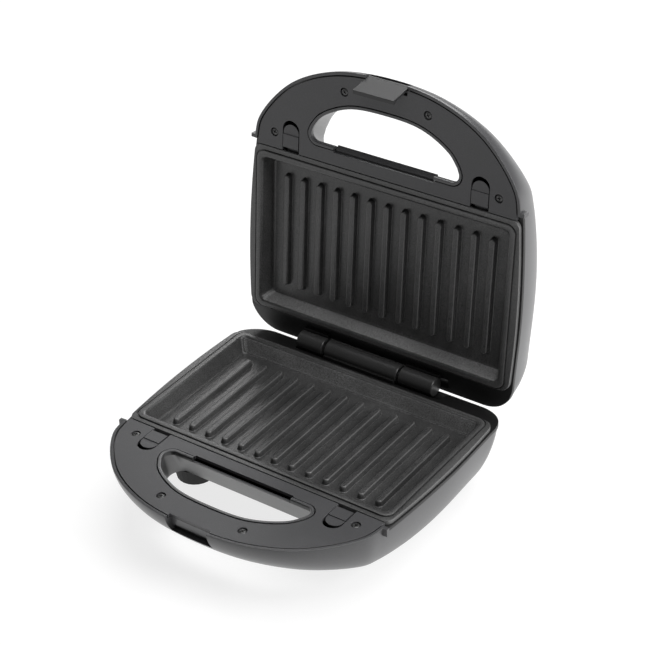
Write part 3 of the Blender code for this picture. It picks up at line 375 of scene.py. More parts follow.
def cone(low_radius, high_radius, low, high, axis="Z", segments=ROUND):
    bm = bmesh.new()
    turn = {"Z": Matrix(), "X": Matrix.Rotation(math.pi / 2, 4, "Y"),
            "Y": Matrix.Rotation(-math.pi / 2, 4, "X")}[axis]
    middle = (Vector(low) + Vector(high)) / 2.0
    bmesh.ops.create_cone(bm, cap_ends=True, segments=segments, radius1=low_radius,
                          radius2=high_radius, depth=(Vector(high) - Vector(low)).length,
                          matrix=Matrix.Translation(middle) @ turn)
    return bm


def rod(radius, low, high, axis="Z", segments=ROUND):
    return cone(radius, radius, low, high, axis, segments)


def prism(outline, low, high, plane="XY"):
    """A flat outline extruded along z, or drawn in YZ and extruded across x."""
    return skin([[(w, u, v) if plane == "YZ" else (u, v, w) for u, v in outline]
                 for w in (low, high)])


def band(bm, rings):
    """Add rings of points and the faces between them; returns the rows of vertices."""
    rows = [[bm.verts.new(point) for point in ring] for ring in rings]
    count = len(rings[0])
    for lower, upper in zip(rows, rows[1:]):
        for i in range(count):
            k = (i + 1) % count
            bm.faces.new((lower[i], lower[k], upper[k], upper[i]))
    return rows


def skin(rings):
    """A closed solid through rings of equal length, with one flat face on each end."""
    bm = bmesh.new()
    rows = band(bm, rings)
    bm.faces.new(rows[0])
    bm.faces.new(rows[-1])
    bmesh.ops.recalc_face_normals(bm, faces=bm.faces)
    return bm


def loft(rings):
    """Like skin, for rings mirrored about x = 0: its ends are closed with strips across x."""
    bm = bmesh.new()
    rows = band(bm, rings)
    count = len(rings[0])
    shift = 0 if abs(rings[0][0][0]) < TINY else 1      # 1 when the front has no middle point
    for row in (rows[0], rows[-1]):
        for i in range((count - shift) // 2):
            corners = (row[i], row[i + 1], row[-i - 1 - shift], row[-i - shift])
            bm.faces.new(list(dict.fromkeys(corners)))
    bmesh.ops.recalc_face_normals(bm, faces=bm.faces)
    return bm


def straight(outline, low, high):
    """A mirrored outline extruded along z."""
    return loft([lifted(outline, low), lifted(outline, high)])


def merged(shapes):
    """Several bmeshes as one."""
    whole = bmesh.new()
    for bm in shapes:
        mesh = bpy.data.meshes.new("part")
        bm.to_mesh(mesh)
        bm.free()
        whole.from_mesh(mesh)
        bpy.data.meshes.remove(mesh)
    return whole


# ================================================================================================
# Outlines
# ================================================================================================
def smooth_through(points, steps):
    """Centripetal curve through given points; the first point lies on the mirror line."""
    before = (-points[1][0], points[1][1])
    after = tuple(2.0 * last - previous for last, previous in zip(points[-1], points[-2]))
    knots = [Vector(p) for p in (before, *points, after)]
    result = []
    for a, b, c, d in zip(knots, knots[1:], knots[2:], knots[3:]):
        t1 = math.sqrt((b - a).length)
        t2 = t1 + math.sqrt((c - b).length)
        t3 = t2 + math.sqrt((d - c).length)
        for k in range(steps):
            t = t1 + (t2 - t1) * k / steps
            ab = a.lerp(b, t / t1)
            bc = b.lerp(c, (t - t1) / (t2 - t1))
            cd = c.lerp(d, (t - t2) / (t3 - t2))
            left = ab.lerp(bc, t / t2)
            right = bc.lerp(cd, (t - t1) / (t3 - t1))
            result.append(left.lerp(right, (t - t1) / (t2 - t1)))
    return result


def arc(centre, radius, start, end, steps):
    angles = [math.radians(start + (end - start) * k / steps) for k in range(steps + 1)]
    return [Vector((centre[0] + radius * math.cos(a), centre[1] + radius * math.sin(a)))
            for a in angles]


def mirrored(right):
    """Close a right half that runs from front to rear; a point on x = 0 stays single."""
    return list(right) + [Vector((-p.x, p.y)) for p in reversed(right) if p.x > TINY]


def inset(outline, amount):
    """Move a counter-clockwise outline inwards along its normals."""
    result = []
    count = len(outline)
    for i, point in enumerate(outline):
        before = (point - outline[i - 1]).normalized()
        after = (outline[(i + 1) % count] - point).normalized()
        tangent = (before + after).normalized()
        stretch = max(0.5, tangent.dot(after))
        result.append(point + Vector((-tangent.y, tangent.x)) * amount / stretch)
    return result


def lifted(outline, z):
    return [(p.x, p.y, z) for p in outline]


def shell_outline():
    """The rim of either half seen from above, counter-clockwise from the front middle."""
    corner_y = REAR_Y - CORNER_RADIUS
    points = ((0.0, FRONT_Y), (43.5, -207.0), (79.8, -190.0), (106.2, -159.5),
              (110.6, -142.0), (HALF_WIDTH, BODY_FRONT), (REAR_HALF, corner_y))
    right = smooth_through(points, OUTLINE_STEPS)
    right += arc((REAR_HALF - CORNER_RADIUS, corner_y), CORNER_RADIUS, 0.0, 90.0, CORNER_STEPS)
    return inset(mirrored(right), FINE_INSET)


def opening_outline():
    """The lip line of the finger opening: a flat rear edge and a bowed front."""
    points = ((0.0, OPENING_FRONT_Y), (31.0, -184.6), (54.0, -172.8), (62.2, -162.5))
    right = smooth_through(points, OUTLINE_STEPS)
    right += arc((OPENING_HALF - OPENING_CORNER, OPENING_REAR_Y - OPENING_CORNER),
                 OPENING_CORNER, OPENING_CORNER_START, 90.0, CORNER_STEPS)
    return mirrored(right)


def plate_outline(grow=0.0, steps=8, sides=16):
    """The plate's flange: straight front and rear, side edges bowed out, rounded corners."""
    front = PLATE_FRONT_Y - grow
    rear = PLATE_REAR_Y + grow
    start = front + PLATE_FRONT_RADIUS
    end = rear - PLATE_REAR_RADIUS
    right = arc((PLATE_FRONT_HALF + grow - PLATE_FRONT_RADIUS, start), PLATE_FRONT_RADIUS,
                -90.0, -5.0, steps)
    for k in range(1, sides):
        share = k / sides
        half_width = PLATE_FRONT_HALF + (PLATE_REAR_HALF - PLATE_FRONT_HALF) * share + grow
        bow = PLATE_BOW * 4.0 * share * (1.0 - share)
        right.append(Vector((half_width + bow, start + (end - start) * share)))
    right += arc((PLATE_REAR_HALF + grow - PLATE_REAR_RADIUS, end), PLATE_REAR_RADIUS,
                 5.0, 90.0, steps)
    return mirrored(right)


def round_rectangle(half, front, rear, radius, steps=8, sides=16):
    """A rounded rectangle about x = 0 with the same layout as the plate's outline."""
    right = arc((half - radius, front + radius), radius, -90.0, 0.0, steps)
    right += [Vector((half, front + radius + (rear - front - 2.0 * radius) * k / sides))
              for k in range(1, sides)]
    right += arc((half - radius, rear - radius), radius, 0.0, 90.0, steps)
    return mirrored(right)


def pan_outline(step, radius):
    """The pan's edge moved outwards by step."""
    return round_rectangle(PAN_HALF + step, PAN_FRONT_Y - step, PAN_REAR_Y + step, radius)


def latch_outline(side, half_width, front, rear):
    """A tongue with a round front end, about one latch's centre line."""
    x = side * LATCH_X
    points = arc((x, front + half_width), half_width, 180.0, 360.0, 24)
    return points + [Vector((x + half_width, rear)), Vector((x - half_width, rear))]


def stadium(x, half_width, front, rear, steps=8):
    """A slot-shaped outline along y."""
    return (arc((x, front + half_width), half_width, 180.0, 360.0, steps)
            + arc((x, rear - half_width), half_width, 0.0, 180.0, steps))


def circle(radius):
    """Points round a turned piece, about its axis."""
    angles = [2.0 * math.pi * k / ROUND for k in range(ROUND)]
    return [(radius * math.cos(a), radius * math.sin(a)) for a in angles]


# ================================================================================================
# Shell
# ================================================================================================
def belly_depth(y):
    """Depth of the shell below the rim: shallow under the handle, full under the plate."""
    share = min(max((y - FRONT_Y) / (BODY_FRONT - FRONT_Y), 0.0), 1.0)
    rise = math.sin(share * math.pi / 2.0) ** BELLY_POWER
    return HANDLE_DEPTH + (BODY_DEPTH - HANDLE_DEPTH) * rise


def shell_rings(outline, shrink, top):
    """Sections of the shell, deepest first; shrink is the wall thickness taken off outside."""
    rings = []
    for k in range(LEVELS, -1, -1):
        turn = math.pi / 2.0 * k / LEVELS
        narrow = 1.0 - math.cos(turn) ** (2.0 / EDGE_POWER)
        deep = math.sin(turn) ** (2.0 / EDGE_POWER)
        ring = []
        for p in outline:
            taper = FRONT_TAPER if p.y < OUTLINE_Y else REAR_TAPER
            x = p.x * (1.0 - SIDE_TAPER / HALF_WIDTH * narrow)
            y = OUTLINE_Y + (p.y - OUTLINE_Y) * (1.0 - taper / (REAR_Y - OUTLINE_Y) * narrow)
            depth = belly_depth(y) - shrink
            ring.append((x, y, top * (1.0 - deep) - depth * deep))
        rings.append(ring)
    return rings


def opening_solid(steps):
    """The finger opening between levels of (z, grow): its walls lean away below the lip."""
    rings = []
    for z, grow in steps:
        depth = max(OPENING_LIP - z, 0.0)
        ring = []
        for p in inset(opening_outline(), -grow):
            share = (p.y - OPENING_FRONT_Y) / (OPENING_REAR_Y - OPENING_FRONT_Y)
            back = OPENING_REAR_SLOPE * depth * share
            wide = 1.0 + OPENING_END_SLOPE * depth / OPENING_HALF
            ring.append((p.x * wide, p.y + back, z))
        rings.append(ring)
    return loft(rings)


def rim_line(gap):
    """The shell's rim round the plate, seen from the side, with a gap above it."""
    z = SHELL_SIDE_RIM + gap
    return [(RIM_STEP_Y, z), (RIM_DROP_Y, z),
            (BEYOND_REAR_Y, z - RIM_DROP * (BEYOND_REAR_Y - RIM_DROP_Y))]


def frame_line():
    """The frame's top behind the plate, seen from the side."""
    return [(FRAME_DROP_Y, LEDGE_TOP),
            (BEYOND_REAR_Y, LEDGE_TOP - FRAME_DROP * (BEYOND_REAR_Y - FRAME_DROP_Y))]


def beyond(line, z):
    """Everything between a line drawn in YZ and level z, across the whole width."""
    return prism(line + [(line[-1][0], z), (line[0][0], z)], -BEYOND_SIDE, BEYOND_SIDE, "YZ")


def notch_tools(half):
    """The base's catch, or the lid's notch for the clip, at the front middle."""

    def notch(low_z, high_z, low_y, high_y):
        profile = ((NOTCH_FRONT_Y, low_z), (low_y, low_z), (high_y, high_z),
                   (NOTCH_FRONT_Y, high_z))
        return prism(profile, -CATCH_HALF, CATCH_HALF, "YZ")

    def catch_y(z):
        return CATCH_TOP_Y - CATCH_SLOPE * z

    if half is LID:
        return [notch(CLIP_SWING_BOTTOM, NOTCH_TOP, CLIP_SWING_REAR_Y, CLIP_SWING_REAR_Y)]
    groove_top = CLIP_LIP_HEIGHT + CATCH_CLEARANCE - CLIP_REACH
    groove_y = catch_y(CATCH_BOTTOM) + CATCH_GROOVE
    return [notch(CATCH_BOTTOM, NOTCH_TOP, catch_y(CATCH_BOTTOM), catch_y(NOTCH_TOP)),
            notch(CATCH_BOTTOM, groove_top, groove_y, groove_y)]


def hollow_tub(name):
    """The shell with a rounded rim, hollow but for the opening's collar and the front block."""
    outline = shell_outline()
    small = RIM_ROUND * ROUND_SHARE
    rings = shell_rings(outline, 0.0, SHELL_FRONT_RIM - RIM_ROUND)
    rings.append(lifted(inset(outline, small), SHELL_FRONT_RIM - small))
    rings.append(lifted(inset(outline, RIM_ROUND), SHELL_FRONT_RIM))
    shell = to_object(name, loft(rings))
    cavity = to_object("cavity", loft(shell_rings(inset(outline, WALL), WALL, CAVITY_TOP)))
    collar = opening_solid(((BEYOND_BELLY, 0.0), (OPENING_LIP, 0.0), (BEYOND_TOP, 0.0)))
    block = box((-BLOCK_HALF, FRONT_Y - OVERRUN, BEYOND_BELLY),
                (BLOCK_HALF, BLOCK_REAR_Y, BLOCK_TOP))
    combine(cavity, "DIFFERENCE", [collar, block])
    apply_tools(shell, "DIFFERENCE", [cavity])
    return shell


def cover_rebate():
    """The space for the handle cover: all within the rim, but for the opening's collar."""
    rebate = to_object("rebate", straight(inset(shell_outline(), COVER_INSET - COVER_SEAM),
                                          COVER_TOP - COVER_THICKNESS - GAP, REBATE_TOP))
    core = straight(inset(opening_outline(), SEAM), BEYOND_COVER, REBATE_CORE_TOP)
    combine(rebate, "DIFFERENCE", [core])
    return rebate


def barrel_space(half):
    """Room for the hinge barrels."""
    z = hinge_line(half)
    return rod(BARREL_CLEARANCE, (NOTCH[0], HINGE_Y, z), (NOTCH[1], HINGE_Y, z), "X")


def in_shaded_opening(place, normal):
    """Whether a face is on the walls of the finger opening, which take painted shade in the base."""
    inward = (OPENING_MIDDLE_Y - place.y) * normal.y - place.x * normal.x
    rear = OPENING_REAR_Y + OPENING_REAR_SLOPE * max(OPENING_LIP - place.z, 0.0)
    return (inward > 0.0 and abs(normal.z) < 0.8 and place.z < COVER_TOP - 0.4
            and abs(place.x) < OPENING_HALF + 12.0
            and OPENING_FRONT_Y - 1.0 < place.y < rear + 1.0)


def make_shell(half):
    """The outer tub with its nubs, finger opening, vent, hinge notch and catch."""
    shell = hollow_tub(f"{half.name}_shell_skin")
    nubs = [box((side * NUB_X - NUB_HALF, NUB_Y - NUB_DEPTH, NUB_BOTTOM),
                (side * NUB_X + NUB_HALF, NUB_Y + NUB_DEPTH, SHELL_FRONT_RIM - TOUCH))
            for side in (-1, 1)]
    combine(shell, "UNION", nubs)
    small = COLLAR_ROUND * ROUND_SHARE
    tools = [
        opening_solid(((BEYOND_BELLY - OVERRUN, -COLLAR), (OPENING_LIP, -COLLAR),
                       (SHELL_FRONT_RIM - COLLAR_ROUND, -COLLAR),
                       (SHELL_FRONT_RIM - small, small - COLLAR),
                       (SHELL_FRONT_RIM, COLLAR_ROUND - COLLAR),
                       (BEYOND_TOP, COLLAR_ROUND - COLLAR))),
        beyond(rim_line(0.0), BEYOND_TOP + OVERRUN),
        box((-VENT_HALF, OPENING_REAR_Y - COLLAR - 2.0, VENT_FLOOR[half.name]),
            (VENT_HALF, OPENING_REAR_Y + 1.0, BEYOND_TOP)),
        barrel_space(half),
        *notch_tools(half),
    ]
    combine(shell, "DIFFERENCE", tools)
    apply_tools(shell, "DIFFERENCE", [cover_rebate()])
    if half is BASE:
        # painted shade on the walls of the base's finger opening
        return settle(half, shell, SHELL_GREY, half.name, "shell_grey", f"{half.name}_shell",
                      patch=SHELL_SHADED, where=in_shaded_opening)
    ramp_rear_y = VENT_RAMP_Y + VENT_RAMP_SHELF
    ramp = ((VENT_RAMP_Y - VENT_RAMP_RUN, VENT_RAMP_BOTTOM), (VENT_RAMP_Y, VENT_RAMP_TOP),
            (ramp_rear_y, VENT_RAMP_TOP), (ramp_rear_y, VENT_RAMP_BOTTOM))
    combine(shell, "UNION", [prism(ramp, TOUCH - VENT_HALF, VENT_HALF - TOUCH, "YZ")])
    return settle(half, shell, SHELL_GREY, half.name, "shell_grey", f"{half.name}_shell")


def hinge_line(half):
    """Height of the hinge axis in the half frame: the lid is mirrored."""
    return -HINGE_Z if half.mirrored else HINGE_Z


# ================================================================================================
# Handle cover, latches, clip and screws
# ================================================================================================
def make_cover(half):
    """The half-moon cover over the handle."""
    bottom = COVER_TOP - COVER_THICKNESS
    cover = to_object(f"{half.name}_cover_panel",
                      straight(inset(shell_outline(), COVER_INSET), bottom, COVER_TOP))
    tools = [
        box((-BEYOND_SIDE, COVER_REAR_Y, BEYOND_WELL), (BEYOND_SIDE, BEYOND_REAR_Y, BEYOND_TOP)),
        straight(inset(opening_outline(), -COLLAR_SEAM), BEYOND_COVER, BEYOND_TOP),
        box((-VENT_HALF, OPENING_REAR_Y - 2.0, BEYOND_COVER),
            (VENT_HALF, OPENING_REAR_Y + VENT_DEPTH, BEYOND_TOP)),
        *notch_tools(half),
    ]
    for side in (-1, 1):
        slot = latch_outline(side, LATCH_HALF + LATCH_SEAM, LATCH_SLOT_FRONT_Y,
                             LATCH_SLOT_REAR_Y)
        tools.append(prism(slot, BEYOND_COVER, BEYOND_TOP))
    seat_z = COVER_TOP - SCREW_RECESS - SCREW_HEAD_HEIGHT - GAP
    for x, y in SCREW_PLACES:
        tools.append(rod(SCREW_HEAD_RADIUS + SCREW_SEAT_GAP, (x, y, seat_z), (x, y, BEYOND_TOP)))
    combine(cover, "DIFFERENCE", tools)
    round_edges(cover, COVER_ROUND)
    return settle(half, cover, COVER_BLACK, half.name, "cover_black", f"{half.name}_handle_cover")


def make_latch(half, side):
    """A sliding tongue with a thumb step, its foot and its nose over the plate's tab."""
    label = "left" if side < 0 else "right"
    x = side * LATCH_X
    name = f"{half.name}_latch_{label}"
    tongue = prism(latch_outline(side, LATCH_HALF, LATCH_FRONT_Y, LATCH_REAR_Y),
                   LATCH_TOP - LATCH_SHEET, LATCH_TOP)
    neck_half = LATCH_HALF - LATCH_NECK_INSET
    neck = box((x - neck_half, LATCH_NECK_FRONT_Y, LATCH_FOOT_BOTTOM + LATCH_NECK_INSET),
               (x + neck_half, LATCH_REAR_Y - LATCH_NECK_INSET, LATCH_NECK_TOP))
    latch = to_object(f"{name}_tongue", tongue)
    foot = box((x - LATCH_FOOT_HALF, LATCH_FOOT_FRONT_Y, LATCH_FOOT_BOTTOM),
               (x + LATCH_FOOT_HALF, LATCH_FOOT_REAR_Y, LATCH_FOOT_TOP))
    nose = box((x - LATCH_NOSE_HALF, LATCH_NOSE_FRONT_Y, LATCH_FOOT_BOTTOM),
               (x + LATCH_NOSE_HALF, LATCH_NOSE_Y, LEDGE_TOP))
    combine(latch, "UNION", [neck, foot, nose])
    thumb = box((x - LATCH_HALF - 1.0, LATCH_FRONT_Y - 1.0, LATCH_TOP - LATCH_THUMB_STEP),
                (x + LATCH_HALF + 1.0, LATCH_THUMB_REAR_Y, LATCH_TOP + 1.0))
    combine(latch, "DIFFERENCE", [thumb])
    round_edges(latch, LATCH_ROUND)
    body = f"{half.name}_latch_{label[0]}"
    return settle(half, latch, COVER_BLACK, body, "cover_black", name)


def make_clip():
    """The flap on the lid's front that swings over the base's catch."""
    pivot = Vector((CLIP_PIVOT_Y, CLIP_PIVOT_Z))
    tip = Vector((CLIP_TIP_Y, CLIP_REACH))
    along = (tip - pivot - Vector((-CLIP_RADIUS, 0.0))).normalized()
    inward = Vector((along.y, -along.x))
    start = tip - along * (CLIP_REACH - CLIP_PIVOT_Z)
    lip_low = tip - along * CLIP_LIP_HEIGHT
    thick = CLIP_THICKNESS + CLIP_LIP
    profile = [start, tip, tip + inward * thick, lip_low + inward * thick,
               lip_low + inward * CLIP_THICKNESS, start + inward * CLIP_THICKNESS]
    flap = to_object("clip_flap", prism(profile, -CLIP_HALF, CLIP_HALF, "YZ"))
    sleeve = rod(CLIP_RADIUS, (-CLIP_HALF, *pivot), (CLIP_HALF, *pivot), "X")
    combine(flap, "UNION", [sleeve])
    round_edges(flap, CLIP_ROUND)
    return settle(LID, flap, CLIP_SATIN, "clip", "cover_black", "lid_clip")


def make_screw(half, index):
    """A pan-head screw with a cross recess in the cover's seat."""
    x, y = SCREW_PLACES[index - 1]
    name = f"{half.name}_cover_screw_{index}"
    top = COVER_TOP - SCREW_RECESS
    low = top - SCREW_HEAD_HEIGHT
    profile = ((SCREW_HEAD_RADIUS, low), (SCREW_HEAD_RADIUS, top - 0.7),
               (SCREW_HEAD_RADIUS - 0.25, top - 0.32), (SCREW_HEAD_RADIUS - 0.8, top - 0.08),
               (SCREW_HEAD_RADIUS - 1.5, top))
    rings = [[(x + u, y + v, z) for u, v in circle(radius)] for radius, z in profile]
    screw = to_object(f"{name}_head", skin(rings))
    arms = []
    for k in range(2):
        arm = cone(*CROSS_TAPER, (x, y, top - CROSS_DEPTH), (x, y, top + 0.2), segments=4)
        turn = SCREW_TURN * index + k * math.pi / 2
        spin = (Matrix.Translation((x, y, 0.0)) @ Matrix.Rotation(turn, 4, "Z")
                @ Matrix.Diagonal((CROSS_LENGTH, CROSS_WIDTH, 1.0, 1.0))
                @ Matrix.Rotation(math.pi / 4, 4, "Z") @ Matrix.Translation((-x, -y, 0.0)))
        bmesh.ops.transform(arm, matrix=spin, verts=arm.verts)
        arms.append(arm)
    combine(screw, "DIFFERENCE", arms)
    return settle(half, screw, SCREW_BLACK, half.name, "screw_black", name)


# ================================================================================================
# Frame and plate
# ================================================================================================
def make_frame(half):
    """The black inner rim round the plate with the hinge barrels; its hidden skirt is left out."""
    outline = shell_outline()
    frame_rim = to_object(f"{half.name}_frame_rim",
                          straight(outline, FRAME_SEAT_BOTTOM, LEDGE_TOP))
    combine(frame_rim, "DIFFERENCE", [beyond(rim_line(GAP), BEYOND_SEAT)])
    seat = straight(inset(outline, FRAME_SEAT_INSET), FRAME_SEAT_BOTTOM, FRAME_BOTTOM + 1.0)
    combine(frame_rim, "UNION", [seat])
    well = round_rectangle(WELL_HALF, WELL_FRONT_Y, WELL_REAR_Y, WELL_RADIUS)
    tools = [
        straight(well, BEYOND_WELL, BEYOND_TOP),
        beyond(frame_line(), BEYOND_TOP + OVERRUN),
        box((-BEYOND_SIDE, BEYOND_FRONT_Y, BEYOND_SEAT),
            (BEYOND_SIDE, FRAME_FRONT_Y, FRAME_CUT_TOP)),
        barrel_space(half),
    ]
    pocket_half = LATCH_FOOT_HALF + LATCH_POCKET_GAP
    for side in (-1, 1):
        x = side * LATCH_X
        tools.append(box((x - pocket_half, LATCH_POCKET_FRONT_Y, LATCH_POCKET_BOTTOM),
                         (x + pocket_half, LATCH_POCKET_REAR_Y, LATCH_POCKET_TOP)))
    combine(frame_rim, "DIFFERENCE", tools)
    arms = [box((left + ARM_INSET, ARM_FRONT_Y, ARM_BOTTOM),
                (right - ARM_INSET, ARM_REAR_Y, ARM_TOP))
            for left, right in BARRELS[half.name]]
    combine(frame_rim, "UNION", arms)
    round_edges(frame_rim, FRAME_ROUND)
    barrels = [barrel(left, right, hinge_line(half)) for left, right in BARRELS[half.name]]
    barrel_set = to_object(f"{half.name}_barrel_set", merged(barrels))
    settle(half, barrel_set, BARREL_BLACK, half.name, "frame_black")
    return settle(half, frame_rim, FRAME_BLACK, half.name, "frame_black", f"{half.name}_frame")


def barrel(left, right, z):
    """A hinge barrel along x with chamfered ends."""
    small = BARREL_RADIUS - BARREL_CHAMFER
    stations = ((left, small), (left + BARREL_CHAMFER, BARREL_RADIUS),
                (right - BARREL_CHAMFER, BARREL_RADIUS), (right, small))
    return skin([[(x, HINGE_Y + u, z + v) for u, v in circle(radius)] for x, radius in stations])


def rib(x):
    """A round-topped rib with round ends, rooted in the pan's floor."""
    half_rib = RIB_WIDTH / 2.0
    top = RIB_HEIGHT - PAN_DEPTH
    section = ((half_rib + 0.6, -PAN_DEPTH - RIB_ROOT), (half_rib + 0.6, -PAN_DEPTH + 0.02),
               (half_rib + 0.15, -PAN_DEPTH + 0.2), (half_rib, -PAN_DEPTH + 0.6),
               (half_rib - 0.5, top - 0.8), (half_rib - 0.7, top - 0.35),
               (half_rib - 1.05, top - 0.08), (half_rib - 1.5, top))
    rings = []
    for width, z in section:
        slack = half_rib - width
        rings.append(lifted(stadium(x, width, RIB_FRONT_Y + slack, RIB_REAR_Y - slack), z))
    return skin(rings)


def on_lit_rear_wall(place, normal):
    """Whether a face is on the pan's rear wall, which takes painted light."""
    return (normal.y < -0.7 and abs(place.x) < PAN_HALF
            and place.y > PAN_REAR_Y - PAN_DRAFT - 0.5
            and -PAN_DEPTH + 0.6 < place.z < FLANGE_TOP - 0.5)


def make_plate(half):
    """A cast pan: bowed flange with a groove and a bead, drafted walls, round-topped ribs."""
    bottom = -PAN_DEPTH - PLATE_WALL
    rings = [
        lifted(pan_outline(PLATE_WALL - PAN_DRAFT, 6.0), bottom),
        lifted(pan_outline(PLATE_WALL, 7.0), FLANGE_BOTTOM),
        lifted(plate_outline(), FLANGE_BOTTOM),
        lifted(plate_outline(), FLANGE_TOP - 0.35),
        lifted(plate_outline(-0.1), FLANGE_TOP - 0.1),
        lifted(plate_outline(-0.35), FLANGE_TOP),
        lifted(pan_outline(BEAD_OUT + 0.95, 8.0), FLANGE_TOP),
        lifted(pan_outline(BEAD_OUT + 0.75, 7.8), FLANGE_TOP - 0.8),
        lifted(pan_outline(BEAD_OUT + 0.1, 7.2), FLANGE_TOP - 0.8),
        lifted(pan_outline(BEAD_OUT - 0.15, 6.9), BEAD_TOP - 0.25),
        lifted(pan_outline(BEAD_OUT - 0.5, 6.6), BEAD_TOP),
        lifted(pan_outline(BEAD_IN + 0.6, 5.0), BEAD_TOP),
        lifted(pan_outline(BEAD_IN - 0.3, 4.6), BEAD_TOP - 0.25),
        lifted(pan_outline(BEAD_IN - 1.0, 4.2), BEAD_TOP - 0.9),
        lifted(pan_outline(-0.25, 4.0), FLANGE_TOP - 1.0),
        lifted(pan_outline(-PAN_DRAFT + 0.45, 3.4), -PAN_DEPTH + 1.5),
        lifted(pan_outline(-PAN_DRAFT, 3.2), -PAN_DEPTH + 0.55),
        lifted(pan_outline(-PAN_DRAFT - 0.55, 3.0), -PAN_DEPTH + 0.14),
        lifted(pan_outline(-PAN_DRAFT - 1.4, 2.6), -PAN_DEPTH),
    ]
    plate = to_object(f"{half.name}_plate_casting", loft(rings))
    ribs = [rib((k - (RIB_COUNT - 1) / 2.0) * RIB_PITCH) for k in range(RIB_COUNT)]
    combine(plate, "UNION", [merged(ribs)])
    # painted light on the pan's rear wall
    return settle(half, plate, PLATE_COAT, half.name, "non_stick", f"{half.name}_plate",
                  patch=PLATE_WALL_PAINTED_LIGHT, where=on_lit_rear_wall)


# ================================================================================================
# Materials
# ================================================================================================
ROUGHNESS_SPREAD = 0.05
RELIEF = 0.0002                # height of the grain, in metres
SPECK = (0.35, 0.65)           # noise between these goes from dark to light
EDGE = (0.53, 0.62)            # pointiness from which an edge counts as sharp, and as fully so, for the painted edge highlight


def grained(name, dark, light, roughness, grain, bump, blotch=25.0, metallic=0.0):
    """A moulded or coated surface: two close tones, uneven roughness and a fine grain."""
    material = bpy.data.materials.new(name)
    material.use_nodes = True
    nodes = material.node_tree.nodes
    links = material.node_tree.links
    shader = nodes["Principled BSDF"]
    shader.inputs["Metallic"].default_value = metallic
    place = nodes.new("ShaderNodeTexCoord")
    cloud = nodes.new("ShaderNodeTexNoise")
    cloud.inputs["Scale"].default_value = blotch
    cloud.inputs["Detail"].default_value = 4.0
    fine = nodes.new("ShaderNodeTexNoise")
    fine.inputs["Scale"].default_value = grain
    fine.inputs["Detail"].default_value = 3.0
    fine.inputs["Roughness"].default_value = 0.6
    tone = nodes.new("ShaderNodeMix")
    tone.data_type = "RGBA"
    tone.inputs["A"].default_value = (*dark, 1.0)
    tone.inputs["B"].default_value = (*light, 1.0)
    blend = nodes.new("ShaderNodeMath")
    blend.operation = "MULTIPLY"
    speck = nodes.new("ShaderNodeMapRange")
    speck.inputs["From Min"].default_value = SPECK[0]
    speck.inputs["From Max"].default_value = SPECK[1]
    rough = nodes.new("ShaderNodeMapRange")
    rough.inputs["To Min"].default_value = roughness - ROUGHNESS_SPREAD
    rough.inputs["To Max"].default_value = roughness + ROUGHNESS_SPREAD
    relief = nodes.new("ShaderNodeBump")
    relief.inputs["Strength"].default_value = bump
    relief.inputs["Distance"].default_value = RELIEF
    links.new(place.outputs["Object"], cloud.inputs["Vector"])
    links.new(place.outputs["Object"], fine.inputs["Vector"])
    links.new(cloud.outputs["Fac"], blend.inputs[0])
    links.new(fine.outputs["Fac"], speck.inputs["Value"])
    links.new(speck.outputs["Result"], blend.inputs[1])
    links.new(blend.outputs["Value"], tone.inputs["Factor"])
    links.new(tone.outputs["Result"], shader.inputs["Base Color"])
    links.new(cloud.outputs["Fac"], rough.inputs["Value"])
    links.new(rough.outputs["Result"], shader.inputs["Roughness"])
    links.new(fine.outputs["Fac"], relief.inputs["Height"])
    links.new(relief.outputs["Normal"], shader.inputs["Normal"])
    return material


def paint_edge_highlights(material, light):
    """Paint highlights on outward edges: the coat turns lighter where the pointiness is high."""
    nodes = material.node_tree.nodes
    links = material.node_tree.links
    shader = nodes["Principled BSDF"]
    base = shader.inputs["Base Color"].links[0].from_socket
    shape = nodes.new("ShaderNodeNewGeometry")
    edge = nodes.new("ShaderNodeMapRange")
    edge.inputs["From Min"].default_value = EDGE[0]
    edge.inputs["From Max"].default_value = EDGE[1]
    tone = nodes.new("ShaderNodeMix")
    tone.data_type = "RGBA"
    tone.inputs["B"].default_value = (*light, 1.0)
    links.new(shape.outputs["Pointiness"], edge.inputs["Value"])
    links.new(edge.outputs["Result"], tone.inputs["Factor"])
    links.new(base, tone.inputs["A"])
    links.new(tone.outputs["Result"], shader.inputs["Base Color"])


def grey(value, tint=0.0):
    """A grey with a touch more blue, by the share tint."""
    return (value, value, value * (1.0 + tint))


SHELL_GREY = grained("shell_grey_satin", grey(0.045, 0.04), grey(0.09, 0.04), 0.30, 2600.0, 0.03)
COVER_BLACK = grained("cover_black_matte", grey(0.040, 0.05), grey(0.085, 0.05), 0.44, 3200.0, 0.08)
CLIP_SATIN = grained("clip_satin", grey(0.010, 0.05), grey(0.022, 0.05), 0.52, 3200.0, 0.05)
FRAME_BLACK = grained("frame_black_satin", grey(0.004), grey(0.009), 0.45, 3200.0, 0.06)
BARREL_BLACK = grained("barrel_black_satin", grey(0.025), grey(0.055), 0.36, 3200.0, 0.05)
PLATE_COAT = grained("non_stick_coat", grey(0.016), grey(0.13), 0.30, 1500.0, 0.4)
# painted highlights: the coat turns lighter on the plate's outward edges, the ribs' tops among them
paint_edge_highlights(PLATE_COAT, grey(0.22))
# painted light: the pan's rear wall gets this much lighter copy of the coat
PLATE_WALL_PAINTED_LIGHT = grained("non_stick_wall_painted_light", grey(0.06), grey(0.42), 0.42, 1500.0, 0.5)
